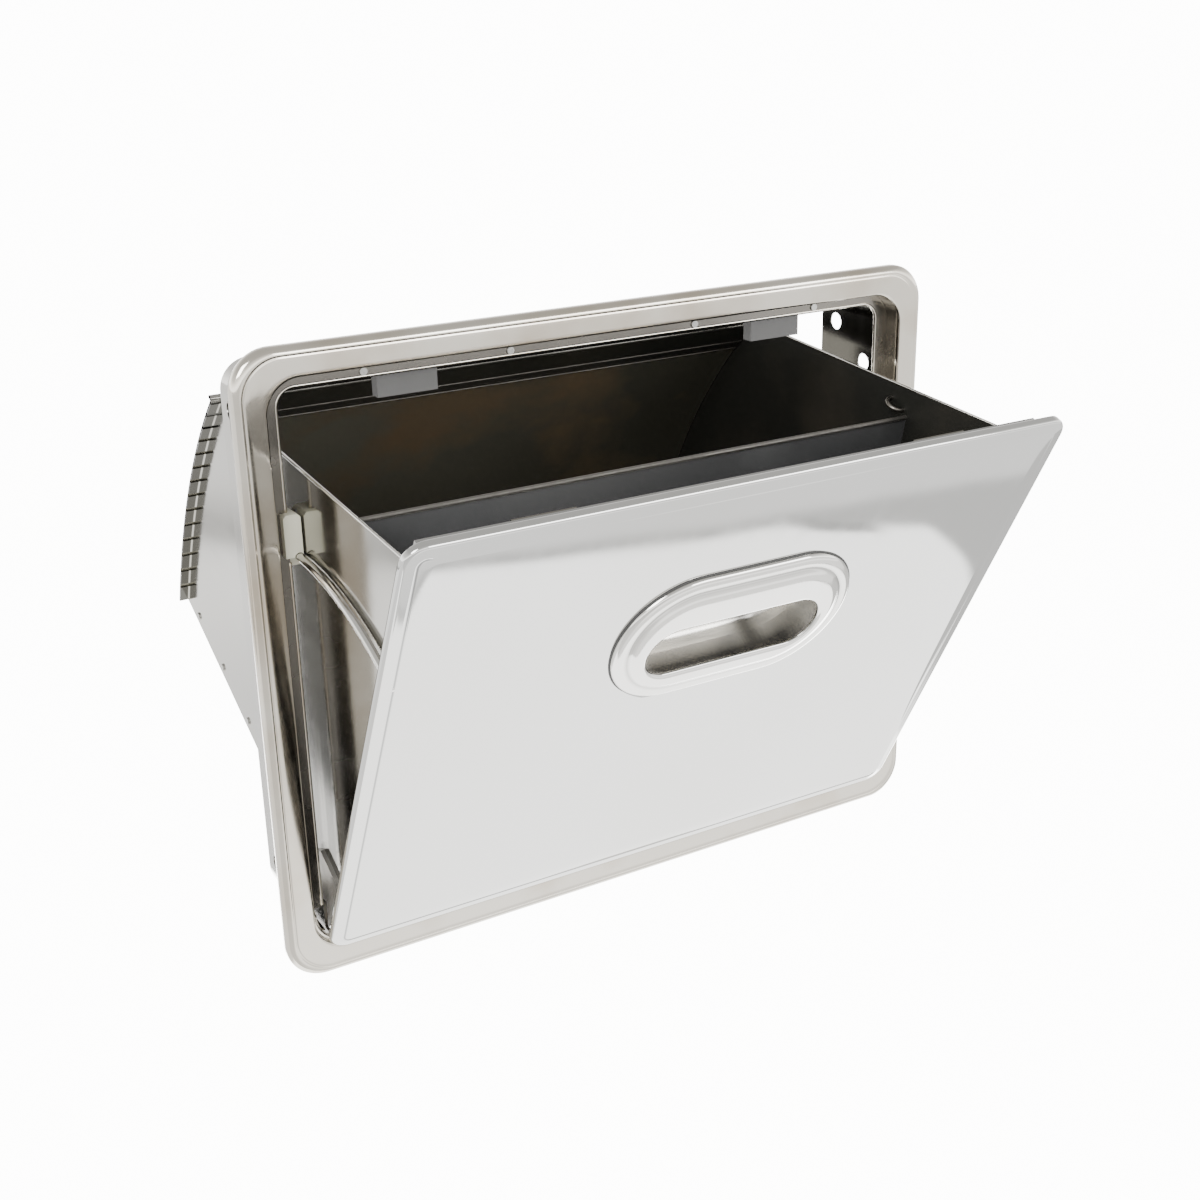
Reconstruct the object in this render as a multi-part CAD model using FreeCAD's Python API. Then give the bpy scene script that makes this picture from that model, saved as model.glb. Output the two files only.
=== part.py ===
import FreeCAD, Part
import math
import os

# A tilt-out trash drawer for an outdoor kitchen, in millimetres.
# Origin: centre of the frame's seat on the island's face. X to the right, Y into the island, Z up.
# Pieces are drawn from the frame's front plane, then set back so that the seat lies at Y = 0.
# Moving pieces are drawn with the door shut, then tilted forward by open_angle about the pivot line.

V = FreeCAD.Vector

# Face frame
frame_width = 508.0
frame_height = 417.0
frame_corner_r = 26.0
frame_sheet = 1.5
frame_edge_r = 5.0
frame_hem_depth = 8.0
stile_width = 20.0
rail_width = 19.0
opening_corner_r = 22.0
recess_depth = 15.0
sill_return_depth = 4.5
sill_relief_height = 24.0

# Stop lip at the back of the recess
lip_width = 10.0
lip_top_width = 8.0
lip_sheet = 1.2
lip_notch_width = 4.0
lip_notch_height = 1.0

# Side collars
collar_sheet = 1.2
collar_depth = 71.0
collar_top_drop = 2.5
collar_corner_r = 20.0
collar_top_flange = 44.0
collar_bottom_flange = 11.0
collar_hole_r = 6.25
collar_hole_rear_y = 70.0
collar_hole_rear_z = 158.0
collar_hole_front_y = 37.0
collar_hole_front_z = 133.0

# Door
open_angle = 27.4
door_side_gap = 5.5
door_top_gap = 3.0
door_bottom_gap = 10.0
door_corner_r = 14.0
door_sheet = 1.2
door_proud = 1.5
door_band = 8.5
door_band_drop = 1.2
door_edge_depth = 6.0
liner_depth = 17.0
liner_sheet = 1.2
liner_top_margin = 10.5
liner_bottom_margin = 19.5

# Pull
pull_offset_x = 9.0
pull_height = 243.5
pull_half_len = 35.5
pull_r = 51.0
pull_rim_height = 4.5
pull_rim_edge_r = 3.5
hood_inset = 10.5
hood_height = 2.5
hood_edge_r = 4.5
pull_sheet = 1.5
pull_hole_inset = 10.5
slot_half_len = 44.0
slot_r = 19.5
slot_drop = 6.5
cup_depth = 39.0
cup_sheet = 1.2
cup_fit = 0.3
cup_corner_r = 12.0
stud_r = 2.0
stud_hole_clear = 0.2
stud_length = 15.0
stud_inset = 4.0
nut_half_flat = 3.5
nut_height = 3.2

# Bin
bin_sheet = 1.2
bin_side_clear = 8.0
bin_floor_lift = 13.0
bin_front_rise = 16.5
bin_front_rise_run = 20.0
rim_front_height = 342.0
rim_rear_height = 223.8
rear_top_y = 288.6
rear_bottom_y = 323.7
rear_arc_r = 480.0
tab_count = 14
tab_share = 0.78
tab_width = 6.5
back_overhang = 6.5
back_bead_r = 2.5
inner_wall_foot_y = 40.0
inner_wall_top_y = 110.4
inner_wall_top_height = 274.0
inner_wall_hem_r = 1.2
floor_flange = 12.0
rivet_r = 3.0
rivet_head = 1.0
rivet_shank_r = 1.6
hook_wire_r = 1.5
hook_r = 7.0
hook_wall_gap = 1.0
hook_rim_drop = 15.0

# Pivot
pivot_y = 15.0
pivot_drop = 4.0
pin_r = 3.0
pin_fit = 0.05
pin_head_r = 5.5
pin_head = 3.0
bush_r = 4.6
bush_flange_r = 7.0
bush_flange = 0.8
bush_side_gap = 0.2
arm_sheet = 3.0
arm_eye_r = 8.5
arm_top = 53.5
arm_rear = 60.0
bracket_sheet = 2.0
bracket_top = 28.5
bracket_foot = 9.5
bracket_ear = 21.0
bracket_front_y = 7.0
bracket_rear_y = 40.0
bracket_lip_gap = 2.0
clip_r = 6.0
clip_sheet = 1.0
clip_gap = 0.8

# Guide rods and blocks
guide_r = 272.5
rod_r = 2.5
rod_gap_to_bin = 1.1
rod_tail = 5.0
block_front_y = 8.0
block_depth = 20.0
block_height = 27.0
block_nose_width = 11.0
block_chamfer = 2.0
block_wall = 7.0
block_bin_gap = 1.0
block_bore_clear = 0.4
block_screw_r = 2.0
block_screw_head_r = 3.6
block_screw_head = 2.2
block_screw_inset = 5.0
block_screw_lift = 10.0
stop_pin_r = 1.5
stop_pin_length = 11.0
stop_pin_gap = 0.7

# Catches
catch_inset = 96.0
catch_width = 40.0
catch_depth = 10.0
catch_height = 21.0
catch_gap = 0.3
catch_bracket_half = 54.0
catch_bracket_offset = -19.5
catch_bracket_sheet = 1.5
catch_rivet_half = 49.5
catch_rivet_drop = 2.5
strike_sheet = 2.0
strike_height = 10.0
strike_top_margin = 1.0
catch_screw_r = 1.75
catch_screw_head_r = 3.5
catch_screw_head = 2.0
catch_screw_spacing = 24.0
catch_screw_grip = 9.0
catch_screw_tap = 1.0

# Places worked out from the sizes above
opening_half = frame_width / 2 - stile_width
opening_top = frame_height / 2 - rail_width
opening_bottom = -opening_top
lip_half = opening_half - lip_width
lip_top = opening_top - lip_top_width
lip_front_y = recess_depth - lip_sheet
collar_inner = opening_half - collar_sheet
collar_top = opening_top - collar_top_drop
collar_rear_y = recess_depth + collar_depth
relief_z = opening_bottom + sill_relief_height

door_half = opening_half - door_side_gap
door_top = opening_top - door_top_gap
door_bottom = opening_bottom + door_bottom_gap
door_front_y = -door_proud
door_back_y = door_front_y + door_sheet
liner_rear_y = door_front_y + liner_depth
liner_top = door_top - liner_top_margin
liner_bottom = door_bottom + liner_bottom_margin

bin_half = lip_half - bin_side_clear
bin_inner = bin_half - bin_sheet
floor_z = opening_bottom + bin_floor_lift
rim_front_z = floor_z + rim_front_height
rim_rear_z = floor_z + rim_rear_height
inner_wall_top_z = floor_z + inner_wall_top_height
hook_y = inner_wall_top_y + 2 * bin_sheet + inner_wall_hem_r + hook_r + hook_wire_r + hook_wall_gap

pivot_z = opening_bottom - pivot_drop
arm_outer = bin_half + arm_sheet
bracket_inner = arm_outer + bush_flange + bush_side_gap
bracket_outer = bracket_inner + bracket_sheet
bracket_top_z = pivot_z + bracket_top

rod_x = bin_half + rod_gap_to_bin + rod_r
rod_top_z = pivot_z + guide_r
rod_start_y = door_back_y + door_band_drop * max(0.0, rod_x + rod_r - door_half + door_band) / door_band
block_inner = bin_half + block_bin_gap
block_outer = block_inner + block_nose_width
block_rear_y = block_front_y + block_depth
block_high_z = rod_top_z + block_height
block_low_z = rod_top_z - block_wall
stop_pin_angle = math.degrees((block_rear_y + stop_pin_gap + stop_pin_r - pivot_y) / guide_r)
rod_end_angle = open_angle + stop_pin_angle + math.degrees(rod_tail / guide_r)

pull_z = door_bottom + pull_height
bezel_front_y = door_front_y - pull_rim_height
hood_front_y = bezel_front_y - hood_height
hood_r = pull_r - hood_inset
cup_r = hood_r - pull_sheet
pull_hole_r = pull_r - pull_hole_inset
stud_ring = pull_hole_r + stud_inset

catch_x = opening_half - catch_inset
strike_rear_y = liner_rear_y + strike_sheet
catch_front_y = strike_rear_y + catch_gap
catch_top_z = opening_top - catch_bracket_sheet - 1.0
catch_bottom_z = catch_top_z - catch_height
catch_rivet_z = catch_top_z - catch_rivet_drop

pivot_point = V(0, pivot_y, pivot_z)


# Building blocks

def box(x0, x1, y0, y1, z0, z1):
    """A block between two corners."""
    return Part.makeBox(x1 - x0, y1 - y0, z1 - z0, V(x0, y0, z0))


def cylinder(radius, start, direction, length):
    """A round bar from a start point along a direction."""
    return Part.makeCylinder(radius, length, start, direction)


def rounded_outline(half, z0, z1, r, y):
    """Closed wire of a rectangle with round corners, in the plane at depth y."""
    edges = []
    corners = [(half - r, z1 - r, 0), (-half + r, z1 - r, 90)]
    corners += [(-half + r, z0 + r, 180), (half - r, z0 + r, 270)]
    ends = []
    for cx, cz, start in corners:
        points = []
        for step in (0, 45, 90):
            a = math.radians(start + step)
            points.append(V(cx + r * math.cos(a), y, cz + r * math.sin(a)))
        ends.append(points)
    for i in range(4):
        a, m, b = ends[i]
        edges.append(Part.Arc(a, m, b).toShape())
        edges.append(Part.LineSegment(b, ends[(i + 1) % 4][0]).toShape())
    return Part.Wire(edges)


def slab(half, z0, z1, r, y0, y1):
    """A round-cornered rectangle drawn out from depth y0 to depth y1."""
    return Part.Face(rounded_outline(half, z0, z1, r, y0)).extrude(V(0, y1 - y0, 0))


def stadium(cx, cz, half_len, r, y0, y1):
    """A slot shape, two half circles and two straights, drawn out from y0 to y1."""
    right_top = V(cx + half_len, y0, cz + r)
    right_low = V(cx + half_len, y0, cz - r)
    left_top = V(cx - half_len, y0, cz + r)
    left_low = V(cx - half_len, y0, cz - r)
    edges = [
        Part.Arc(right_low, V(cx + half_len + r, y0, cz), right_top).toShape(),
        Part.LineSegment(right_top, left_top).toShape(),
        Part.Arc(left_top, V(cx - half_len - r, y0, cz), left_low).toShape(),
        Part.LineSegment(left_low, right_low).toShape(),
    ]
    return Part.Face(Part.Wire(edges)).extrude(V(0, y1 - y0, 0))


def plate_yz(points, x0, x1):
    """A flat polygon given as (y, z) points, drawn out from x0 to x1."""
    corners = [V(x0, y, z) for y, z in points]
    wire = Part.makePolygon(corners + corners[:1])
    return Part.Face(wire).extrude(V(x1 - x0, 0, 0))


def plate_xy(points, z0, z1):
    """A flat polygon given as (x, y) points, drawn out from z0 to z1."""
    corners = [V(x, y, z0) for x, y in points]
    wire = Part.makePolygon(corners + corners[:1])
    return Part.Face(wire).extrude(V(0, 0, z1 - z0))


def round_rim(shape, y, r):
    """Rounds every edge of a shape that lies in the plane at depth y."""
    edges = []
    for edge in shape.Edges:
        b = edge.BoundBox
        if abs(b.YMin - y) < 1e-4 and abs(b.YMax - y) < 1e-4:
            edges.append(edge)
    return shape.makeFillet(r, edges)


def hexagon_y(half_flat, x, z, y0, y1, bore):
    """A hexagon nut along Y with a round bore."""
    reach = half_flat / math.cos(math.radians(30))
    corners = []
    for i in range(6):
        a = math.radians(60 * i)
        corners.append(V(x + reach * math.cos(a), y0, z + reach * math.sin(a)))
    body = Part.Face(Part.makePolygon(corners + corners[:1])).extrude(V(0, y1 - y0, 0))
    return body.cut(cylinder(bore, V(x, y0 - 1, z), V(0, 1, 0), y1 - y0 + 2))


def other_side(shape):
    """The mirror image of a piece, for the left hand side."""
    return shape.mirror(V(0, 0, 0), V(1, 0, 0))


def both_sides(shape):
    """A right hand piece and its mirror image as separate solids of one group."""
    return Part.makeCompound([shape, other_side(shape)])


def tilted(shape):
    """A moving piece turned from shut to the open pose about the pivot line."""
    turned = shape.copy()
    turned.rotate(pivot_point, V(1, 0, 0), open_angle)
    return turned


def save(name, shape):
    """Writes one piece to its own file, with the frame's seat at Y = 0."""
    placed = shape.copy()
    placed.translate(V(0, -frame_hem_depth, 0))
    placed.exportStep(os.path.join("parts", name + ".step"))


# Fixed pieces

def make_face_frame():
    """Face with a rolled outer edge and hem, and a wall turned back round the opening."""
    half = frame_width / 2
    top = frame_height / 2
    t = frame_sheet
    outside = round_rim(slab(half, -top, top, frame_corner_r, 0, frame_hem_depth), 0, frame_edge_r)
    hollow = slab(half - t, -top + t, top - t, frame_corner_r - t, t, frame_hem_depth + 1)
    hollow = round_rim(hollow, t, frame_edge_r - t)
    pan = outside.cut(hollow)
    wall_r = opening_corner_r + t
    wall = slab(opening_half + t, opening_bottom - t, opening_top + t, wall_r, t / 2, recess_depth)
    frame = pan.fuse(wall)
    frame = frame.cut(slab(opening_half, opening_bottom, opening_top, opening_corner_r, -1, recess_depth + 1))
    low = box(-half, half, sill_return_depth, recess_depth + 1, -top, relief_z)
    keep = box(-half, half, sill_return_depth - 1, frame_hem_depth + 1, -top, relief_z)
    keep = keep.cut(slab(half - 2 * t, -top + 2 * t, top, frame_corner_r - 2 * t, 0, frame_hem_depth + 2))
    return frame.cut(low.cut(keep)).removeSplitter()


def make_stop_lip():
    """Lip on the left, top and right of the recess, notched along the top and cut back for the blocks."""
    lip = slab(opening_half, opening_bottom, opening_top, opening_corner_r, lip_front_y, recess_depth)
    inner_r = opening_corner_r - lip_width
    lip = lip.cut(slab(lip_half, -lip_top, lip_top, inner_r, lip_front_y - 1, recess_depth + 1))
    lip = lip.cut(box(-frame_width, frame_width, 0, recess_depth + 1, -frame_height, relief_z))
    for side in (-1, 1):
        for reach in (-catch_rivet_half, catch_rivet_half):
            x = side * (catch_x + catch_bracket_offset + reach)
            hw = lip_notch_width / 2
            notch_top = lip_top + lip_notch_height
            notch = box(x - hw, x + hw, lip_front_y - 1, recess_depth + 1, lip_top - 1, notch_top)
            lip = lip.cut(notch)
            hole = cylinder(rivet_shank_r, V(x, lip_front_y - 1, catch_rivet_z), V(0, 1, 0), lip_sheet + 2)
            lip = lip.cut(hole)
        window = box(block_inner - 1, block_outer, lip_front_y - 1, recess_depth + 1, rod_top_z, block_high_z)
        lip = lip.cut(window if side > 0 else other_side(window))
    return lip


def make_side_collar():
    """Right strip behind the stile with curled ends and four fixing holes."""
    y0 = recess_depth
    t = collar_sheet
    tube = slab(opening_half, -collar_top, collar_top, collar_corner_r, y0, collar_rear_y)
    inner_r = collar_corner_r - t
    inside = slab(collar_inner, -collar_top + t, collar_top - t, inner_r, y0 - 1, collar_rear_y + 1)
    tube = tube.cut(inside)
    upper_x = opening_half - collar_top_flange
    lower_x = opening_half - collar_bottom_flange
    tube = tube.cut(box(-frame_width, upper_x, y0 - 1, collar_rear_y + 1, 0, frame_height))
    tube = tube.cut(box(-frame_width, lower_x, y0 - 1, collar_rear_y + 1, -frame_height, 0))
    for side in (-1, 1):
        for y, z in ((collar_hole_rear_y, collar_hole_rear_z), (collar_hole_front_y, collar_hole_front_z)):
            tube = tube.cut(cylinder(collar_hole_r, V(collar_inner - 5, y, side * z), V(1, 0, 0), 10))
    for y, z in block_screw_places():
        tube = tube.cut(cylinder(block_screw_r, V(collar_inner - 5, y, z), V(1, 0, 0), 10))
    for y, z in bracket_rivet_places():
        tube = tube.cut(cylinder(rivet_shank_r, V(collar_inner - 5, y, z), V(1, 0, 0), 10))
    return tube


def bracket_rivet_places():
    """Two rivets in the upper ear of a pivot bracket, as (y, z)."""
    y0 = recess_depth + bracket_lip_gap
    z = bracket_top_z + bracket_ear / 2
    third = (bracket_rear_y - y0) / 4
    return [(y0 + third, z), (bracket_rear_y - third, z)]


def make_pivot_bracket():
    """Z-bent plate: an ear on the collar, a shelf, and a plate down to the pivot pin."""
    t = bracket_sheet
    y0 = recess_depth + bracket_lip_gap
    ear = box(collar_inner - t, collar_inner, y0, bracket_rear_y, bracket_top_z, bracket_top_z + bracket_ear)
    shelf = box(bracket_inner, collar_inner, y0, bracket_rear_y, bracket_top_z - t, bracket_top_z)
    foot_z = pivot_z - bracket_foot
    outline = [
        (y0, bracket_top_z),
        (y0, pivot_z + bracket_foot),
        (bracket_front_y, pivot_z + bracket_foot),
        (bracket_front_y, foot_z),
        (bracket_rear_y - bracket_foot, foot_z),
        (bracket_rear_y, foot_z + bracket_foot),
        (bracket_rear_y, bracket_top_z),
    ]
    plate = plate_yz(outline, bracket_inner, bracket_outer)
    bracket = ear.fuse(shelf).fuse(plate).removeSplitter()
    bracket = bracket.cut(cylinder(pin_r, V(bracket_inner - 1, pivot_y, pivot_z), V(1, 0, 0), t + 2))
    for y, z in bracket_rivet_places():
        bracket = bracket.cut(cylinder(rivet_shank_r, V(collar_inner - t - 1, y, z), V(1, 0, 0), t + 2))
    return bracket


def rivet_x(y, z, x0, x1):
    """A rivet along X: a head outside each face of a joint between x0 and x1."""
    shank = cylinder(rivet_shank_r, V(x0, y, z), V(1, 0, 0), x1 - x0)
    inner = cylinder(rivet_r, V(x0 - rivet_head, y, z), V(1, 0, 0), rivet_head)
    outer = cylinder(rivet_r, V(x1, y, z), V(1, 0, 0), rivet_head)
    return shank.fuse(inner).fuse(outer).removeSplitter()


def make_bracket_rivets():
    """The rivets that hold both pivot brackets to the collars."""
    rivets = []
    for y, z in bracket_rivet_places():
        rivet = rivet_x(y, z, collar_inner - bracket_sheet, opening_half)
        rivets += [rivet, other_side(rivet)]
    return Part.makeCompound(rivets)


def make_pivot_pin():
    """Headed pin from the bracket inwards through the arm's bush."""
    end_x = bin_half - clip_gap - clip_sheet - 1.5
    shank = cylinder(pin_r, V(end_x, pivot_y, pivot_z), V(1, 0, 0), bracket_outer - end_x)
    head = cylinder(pin_head_r, V(bracket_outer, pivot_y, pivot_z), V(1, 0, 0), pin_head)
    return shank.fuse(head).removeSplitter()


def make_retaining_clip():
    """Open ring on the inner end of the pin."""
    x0 = bin_half - clip_gap - clip_sheet
    ring = cylinder(clip_r, V(x0, pivot_y, pivot_z), V(1, 0, 0), clip_sheet)
    ring = ring.cut(cylinder(pin_r, V(x0 - 1, pivot_y, pivot_z), V(1, 0, 0), clip_sheet + 2))
    half = pin_r * 0.8
    mouth = box(x0 - 1, x0 + clip_sheet + 1, pivot_y - half, pivot_y + half, pivot_z - clip_r - 1, pivot_z)
    return ring.cut(mouth)


def rod_sweep(radius, first_angle, last_angle):
    """A round bar bent about the pivot line; angles are from the top, backwards."""
    start = Part.Circle(V(rod_x, pivot_y, rod_top_z), V(0, 1, 0), radius).toShape()
    face = Part.Face(Part.Wire([start]))
    face.rotate(pivot_point, V(-1, 0, 0), first_angle)
    return face.revolve(pivot_point, V(-1, 0, 0), last_angle - first_angle)


def block_screw_places():
    """The two screws of a guide block, as (y, z)."""
    y = (recess_depth + block_rear_y) / 2
    return [(y, rod_top_z + block_screw_lift), (y, block_high_z - block_screw_inset)]


def chamfered_top(block, x):
    """Cuts the corner off every top edge of a block that runs along Y at one of the given x."""
    edges = []
    for edge in block.Edges:
        span = edge.BoundBox
        if span.YLength > 1 and span.ZMin > block_high_z - 0.01 and min(abs(span.XMin - v) for v in x) < 0.01:
            edges.append(edge)
    return block.makeChamfer(block_chamfer, edges)


def make_guide_block():
    """Plastic block on the collar: a nose through the lip, a groove for the rod, two sunk screw holes."""
    nose = box(block_inner, block_outer, block_front_y, recess_depth, rod_top_z, block_high_z)
    nose = chamfered_top(nose, (block_inner, block_outer))
    rear = box(block_inner, collar_inner, recess_depth, block_rear_y, block_low_z, block_high_z)
    block = nose.fuse(chamfered_top(rear, (block_inner,))).removeSplitter()
    block = block.cut(rod_sweep(rod_r + block_bore_clear, -6.0, 6.0))
    for y, z in block_screw_places():
        block = block.cut(cylinder(block_screw_r, V(block_inner - 1, y, z), V(1, 0, 0), 40))
        sunk = block_screw_head + 1.3
        block = block.cut(cylinder(block_screw_head_r, V(block_inner - 1, y, z), V(1, 0, 0), sunk))
    return block


def make_guide_block_screws():
    """Cap screws sunk in both guide blocks and held in the collars."""
    screws = []
    for y, z in block_screw_places():
        seat = block_inner + 0.3
        shank = cylinder(block_screw_r, V(seat, y, z), V(1, 0, 0), opening_half + 2 - seat)
        head = cylinder(block_screw_head_r, V(seat, y, z), V(1, 0, 0), block_screw_head)
        screw = shank.fuse(head).removeSplitter()
        screws += [screw, other_side(screw)]
    return Part.makeCompound(screws)


def make_catch_bracket():
    """Angle on the back of the lip that carries a catch under its shelf."""
    t = catch_bracket_sheet
    mid = catch_x + catch_bracket_offset
    x0 = mid - catch_bracket_half
    x1 = mid + catch_bracket_half
    rear_y = catch_front_y + catch_depth
    back = box(x0, x1, recess_depth, recess_depth + t, lip_top + lip_notch_height, catch_top_z + t)
    shelf = box(x0, x1, recess_depth, rear_y, catch_top_z, catch_top_z + t)
    bracket = back.fuse(shelf).removeSplitter()
    bracket = bracket.cut(box(catch_x - catch_width, catch_x + catch_width, 0, rear_y + 1, 0, catch_top_z))
    for reach in (-catch_rivet_half, catch_rivet_half):
        hole = cylinder(rivet_shank_r, V(mid + reach, recess_depth - 1, catch_rivet_z), V(0, 1, 0), t + 2)
        bracket = bracket.cut(hole)
    for x, y in catch_screw_places():
        bracket = bracket.cut(cylinder(catch_screw_r, V(x, y, catch_top_z - 1), V(0, 0, 1), t + 2))
    return bracket


def catch_screw_places():
    """The two screws of a catch, as (x, y)."""
    y = catch_front_y + catch_depth / 2
    return [(catch_x - catch_screw_spacing / 2, y), (catch_x + catch_screw_spacing / 2, y)]


def make_catch_rivets():
    """Rivets through the lip and both catch brackets."""
    rivets = []
    mid = catch_x + catch_bracket_offset
    y0 = lip_front_y
    y1 = recess_depth + catch_bracket_sheet
    for reach in (-catch_rivet_half, catch_rivet_half):
        x = mid + reach
        shank = cylinder(rivet_shank_r, V(x, y0, catch_rivet_z), V(0, 1, 0), y1 - y0)
        front = cylinder(rivet_r * 0.8, V(x, y0 - rivet_head, catch_rivet_z), V(0, 1, 0), rivet_head)
        rear = cylinder(rivet_r * 0.8, V(x, y1, catch_rivet_z), V(0, 1, 0), rivet_head)
        rivet = shank.fuse(front).fuse(rear).removeSplitter()
        rivets += [rivet, other_side(rivet)]
    return Part.makeCompound(rivets)


def make_catch_magnet():
    """Grey catch block under the bracket; the strike plate meets its front face."""
    half = catch_width / 2
    rear_y = catch_front_y + catch_depth
    block = box(catch_x - half, catch_x + half, catch_front_y, rear_y, catch_bottom_z, catch_top_z)
    upright = []
    for edge in block.Edges:
        if edge.BoundBox.ZLength > catch_height / 2 and edge.BoundBox.YMin > catch_front_y + 1:
            upright.append(edge)
    block = block.makeFillet(2.0, upright)
    depth = catch_screw_grip + catch_screw_tap
    for x, y in catch_screw_places():
        block = block.cut(cylinder(catch_screw_r, V(x, y, catch_top_z - depth), V(0, 0, 1), depth + 1))
    return block


def make_catch_screws():
    """Pan-head screws that hold both catches to their brackets."""
    screws = []
    seat = catch_top_z + catch_bracket_sheet
    for x, y in catch_screw_places():
        end_z = catch_top_z - catch_screw_grip
        shank = cylinder(catch_screw_r, V(x, y, end_z), V(0, 0, 1), seat - end_z)
        head = cylinder(catch_screw_head_r, V(x, y, seat), V(0, 0, 1), catch_screw_head)
        screw = shank.fuse(head).removeSplitter()
        screws += [screw, other_side(screw)]
    return Part.makeCompound(screws)


# Moving pieces, drawn with the door shut

def bevelled_slab(half, z0, z1, r, y0, y1, band, drop):
    """A round-cornered slab whose front falls away by drop over a border of width band."""
    body = slab(half, z0, z1, r, y0, y1)
    over = 5.0
    fall = drop * (band + over) / band
    for side in (-1, 1):
        edge = [
            (side * (half - band), y0),
            (side * (half + over), y0 + fall),
            (side * (half + over), y0 - 1),
            (side * (half - band), y0 - 1),
        ]
        body = body.cut(plate_xy(edge, z0 - over, z1 + over))
    for z, side in ((z0, -1), (z1, 1)):
        edge = [
            (y0, z - side * band),
            (y0 + fall, z + side * over),
            (y0 - 1, z + side * over),
            (y0 - 1, z - side * band),
        ]
        body = body.cut(plate_yz(edge, -half - over, half + over))
    return body


def make_door_skin():
    """Front panel: flat field, shallow bevelled border, edge turned back, and the hole for the pull."""
    t = door_sheet
    y1 = door_front_y + door_edge_depth
    bevel = (door_band, door_band_drop)
    outside = bevelled_slab(door_half, door_bottom, door_top, door_corner_r, door_front_y, y1, *bevel)
    inner_band = door_band - t
    inner_drop = door_band_drop * inner_band / door_band
    inside = bevelled_slab(door_half - t, door_bottom + t, door_top - t, door_corner_r - t,
                           door_back_y, y1 + 1, inner_band, inner_drop)
    skin = outside.cut(inside)
    hole = stadium(pull_offset_x, pull_z, pull_half_len, pull_hole_r, door_front_y - 1, door_back_y + 1)
    skin = skin.cut(hole)
    for x, z in stud_places():
        hole = cylinder(stud_r + stud_hole_clear, V(x, door_front_y - 1, z), V(0, 1, 0), t + 2)
        skin = skin.cut(hole)
    return skin


def make_door_liner():
    """Inner door panel between the bin sides: edges turned forward to the skin, a hole for the cup."""
    t = liner_sheet
    panel = box(-bin_inner, bin_inner, liner_rear_y - t, liner_rear_y, liner_bottom, liner_top)
    top = box(-bin_inner, bin_inner, door_back_y, liner_rear_y - t, liner_top - t, liner_top)
    bottom = box(-bin_inner, bin_inner, door_back_y, liner_rear_y - t, liner_bottom, liner_bottom + t)
    liner = panel.fuse(top).fuse(bottom).removeSplitter()
    hole_r = cup_r + cup_fit
    hole = stadium(pull_offset_x, pull_z, pull_half_len, hole_r, liner_rear_y - t - 1, liner_rear_y + 1)
    return liner.cut(hole)


def stud_places():
    """The four studs of the pull, as (x, z)."""
    places = []
    for sx in (-1, 1):
        for sz in (-1, 1):
            places.append((pull_offset_x + sx * pull_half_len, pull_z + sz * stud_ring))
    return places


def make_handle_bezel():
    """Pressed oval shell: a round-edged rim, a raised hood, and the finger slot below its middle."""
    t = pull_sheet
    x = pull_offset_x
    rim = stadium(x, pull_z, pull_half_len, pull_r, bezel_front_y, door_front_y)
    rim = round_rim(rim, bezel_front_y, pull_rim_edge_r)
    hood = stadium(x, pull_z, pull_half_len, hood_r, hood_front_y, door_front_y)
    hood = round_rim(hood, hood_front_y, hood_edge_r)
    rim_hollow = stadium(x, pull_z, pull_half_len, pull_r - t, bezel_front_y + t, door_front_y + 1)
    rim_hollow = round_rim(rim_hollow, bezel_front_y + t, pull_rim_edge_r - t)
    hood_hollow = stadium(x, pull_z, pull_half_len, hood_r - t, hood_front_y + t, door_front_y + 1)
    hood_hollow = round_rim(hood_hollow, hood_front_y + t, hood_edge_r - t)
    shell = rim.fuse(hood).cut(rim_hollow).cut(hood_hollow)
    slot = stadium(x, pull_z - slot_drop, slot_half_len, slot_r, hood_front_y - 1, hood_front_y + t + 1)
    return shell.cut(slot).removeSplitter()


def make_handle_cup():
    """Drawn cup behind the slot, deep enough for fingers to hook behind the hood."""
    t = cup_sheet
    y0 = hood_front_y + pull_sheet + hood_edge_r - pull_sheet
    y1 = hood_front_y + pull_sheet + cup_depth
    cup = stadium(pull_offset_x, pull_z, pull_half_len, cup_r, y0, y1)
    cup = round_rim(cup, y1, cup_corner_r)
    hollow = stadium(pull_offset_x, pull_z, pull_half_len, cup_r - t, y0 - 1, y1 - t)
    hollow = round_rim(hollow, y1 - t, cup_corner_r - t)
    return cup.cut(hollow)


def make_handle_studs():
    """Studs from the inside of the rim back through the door skin."""
    y0 = bezel_front_y + pull_sheet
    studs = []
    for x, z in stud_places():
        studs.append(cylinder(stud_r, V(x, y0, z), V(0, 1, 0), stud_length))
    return Part.makeCompound(studs)


def make_handle_nuts():
    """Nuts on the studs behind the door skin."""
    nuts = []
    for x, z in stud_places():
        nuts.append(hexagon_y(nut_half_flat, x, z, door_back_y, door_back_y + nut_height, stud_r))
    return Part.makeCompound(nuts)


def rear_arc():
    """Centre of the bin's rear arc and its start and end angles, top to bottom."""
    top = V(0, rear_top_y, rim_rear_z)
    low = V(0, rear_bottom_y, floor_z)
    chord = low.sub(top)
    half = chord.Length / 2
    inward = V(0, chord.z, -chord.y)
    inward.normalize()
    reach = math.sqrt(rear_arc_r ** 2 - half ** 2)
    middle = top.add(low).multiply(0.5)
    centre = middle.add(inward.multiply(reach))
    first = math.atan2(top.z - centre.z, top.y - centre.y)
    last = math.atan2(low.z - centre.z, low.y - centre.y)
    return centre, first, last


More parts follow.
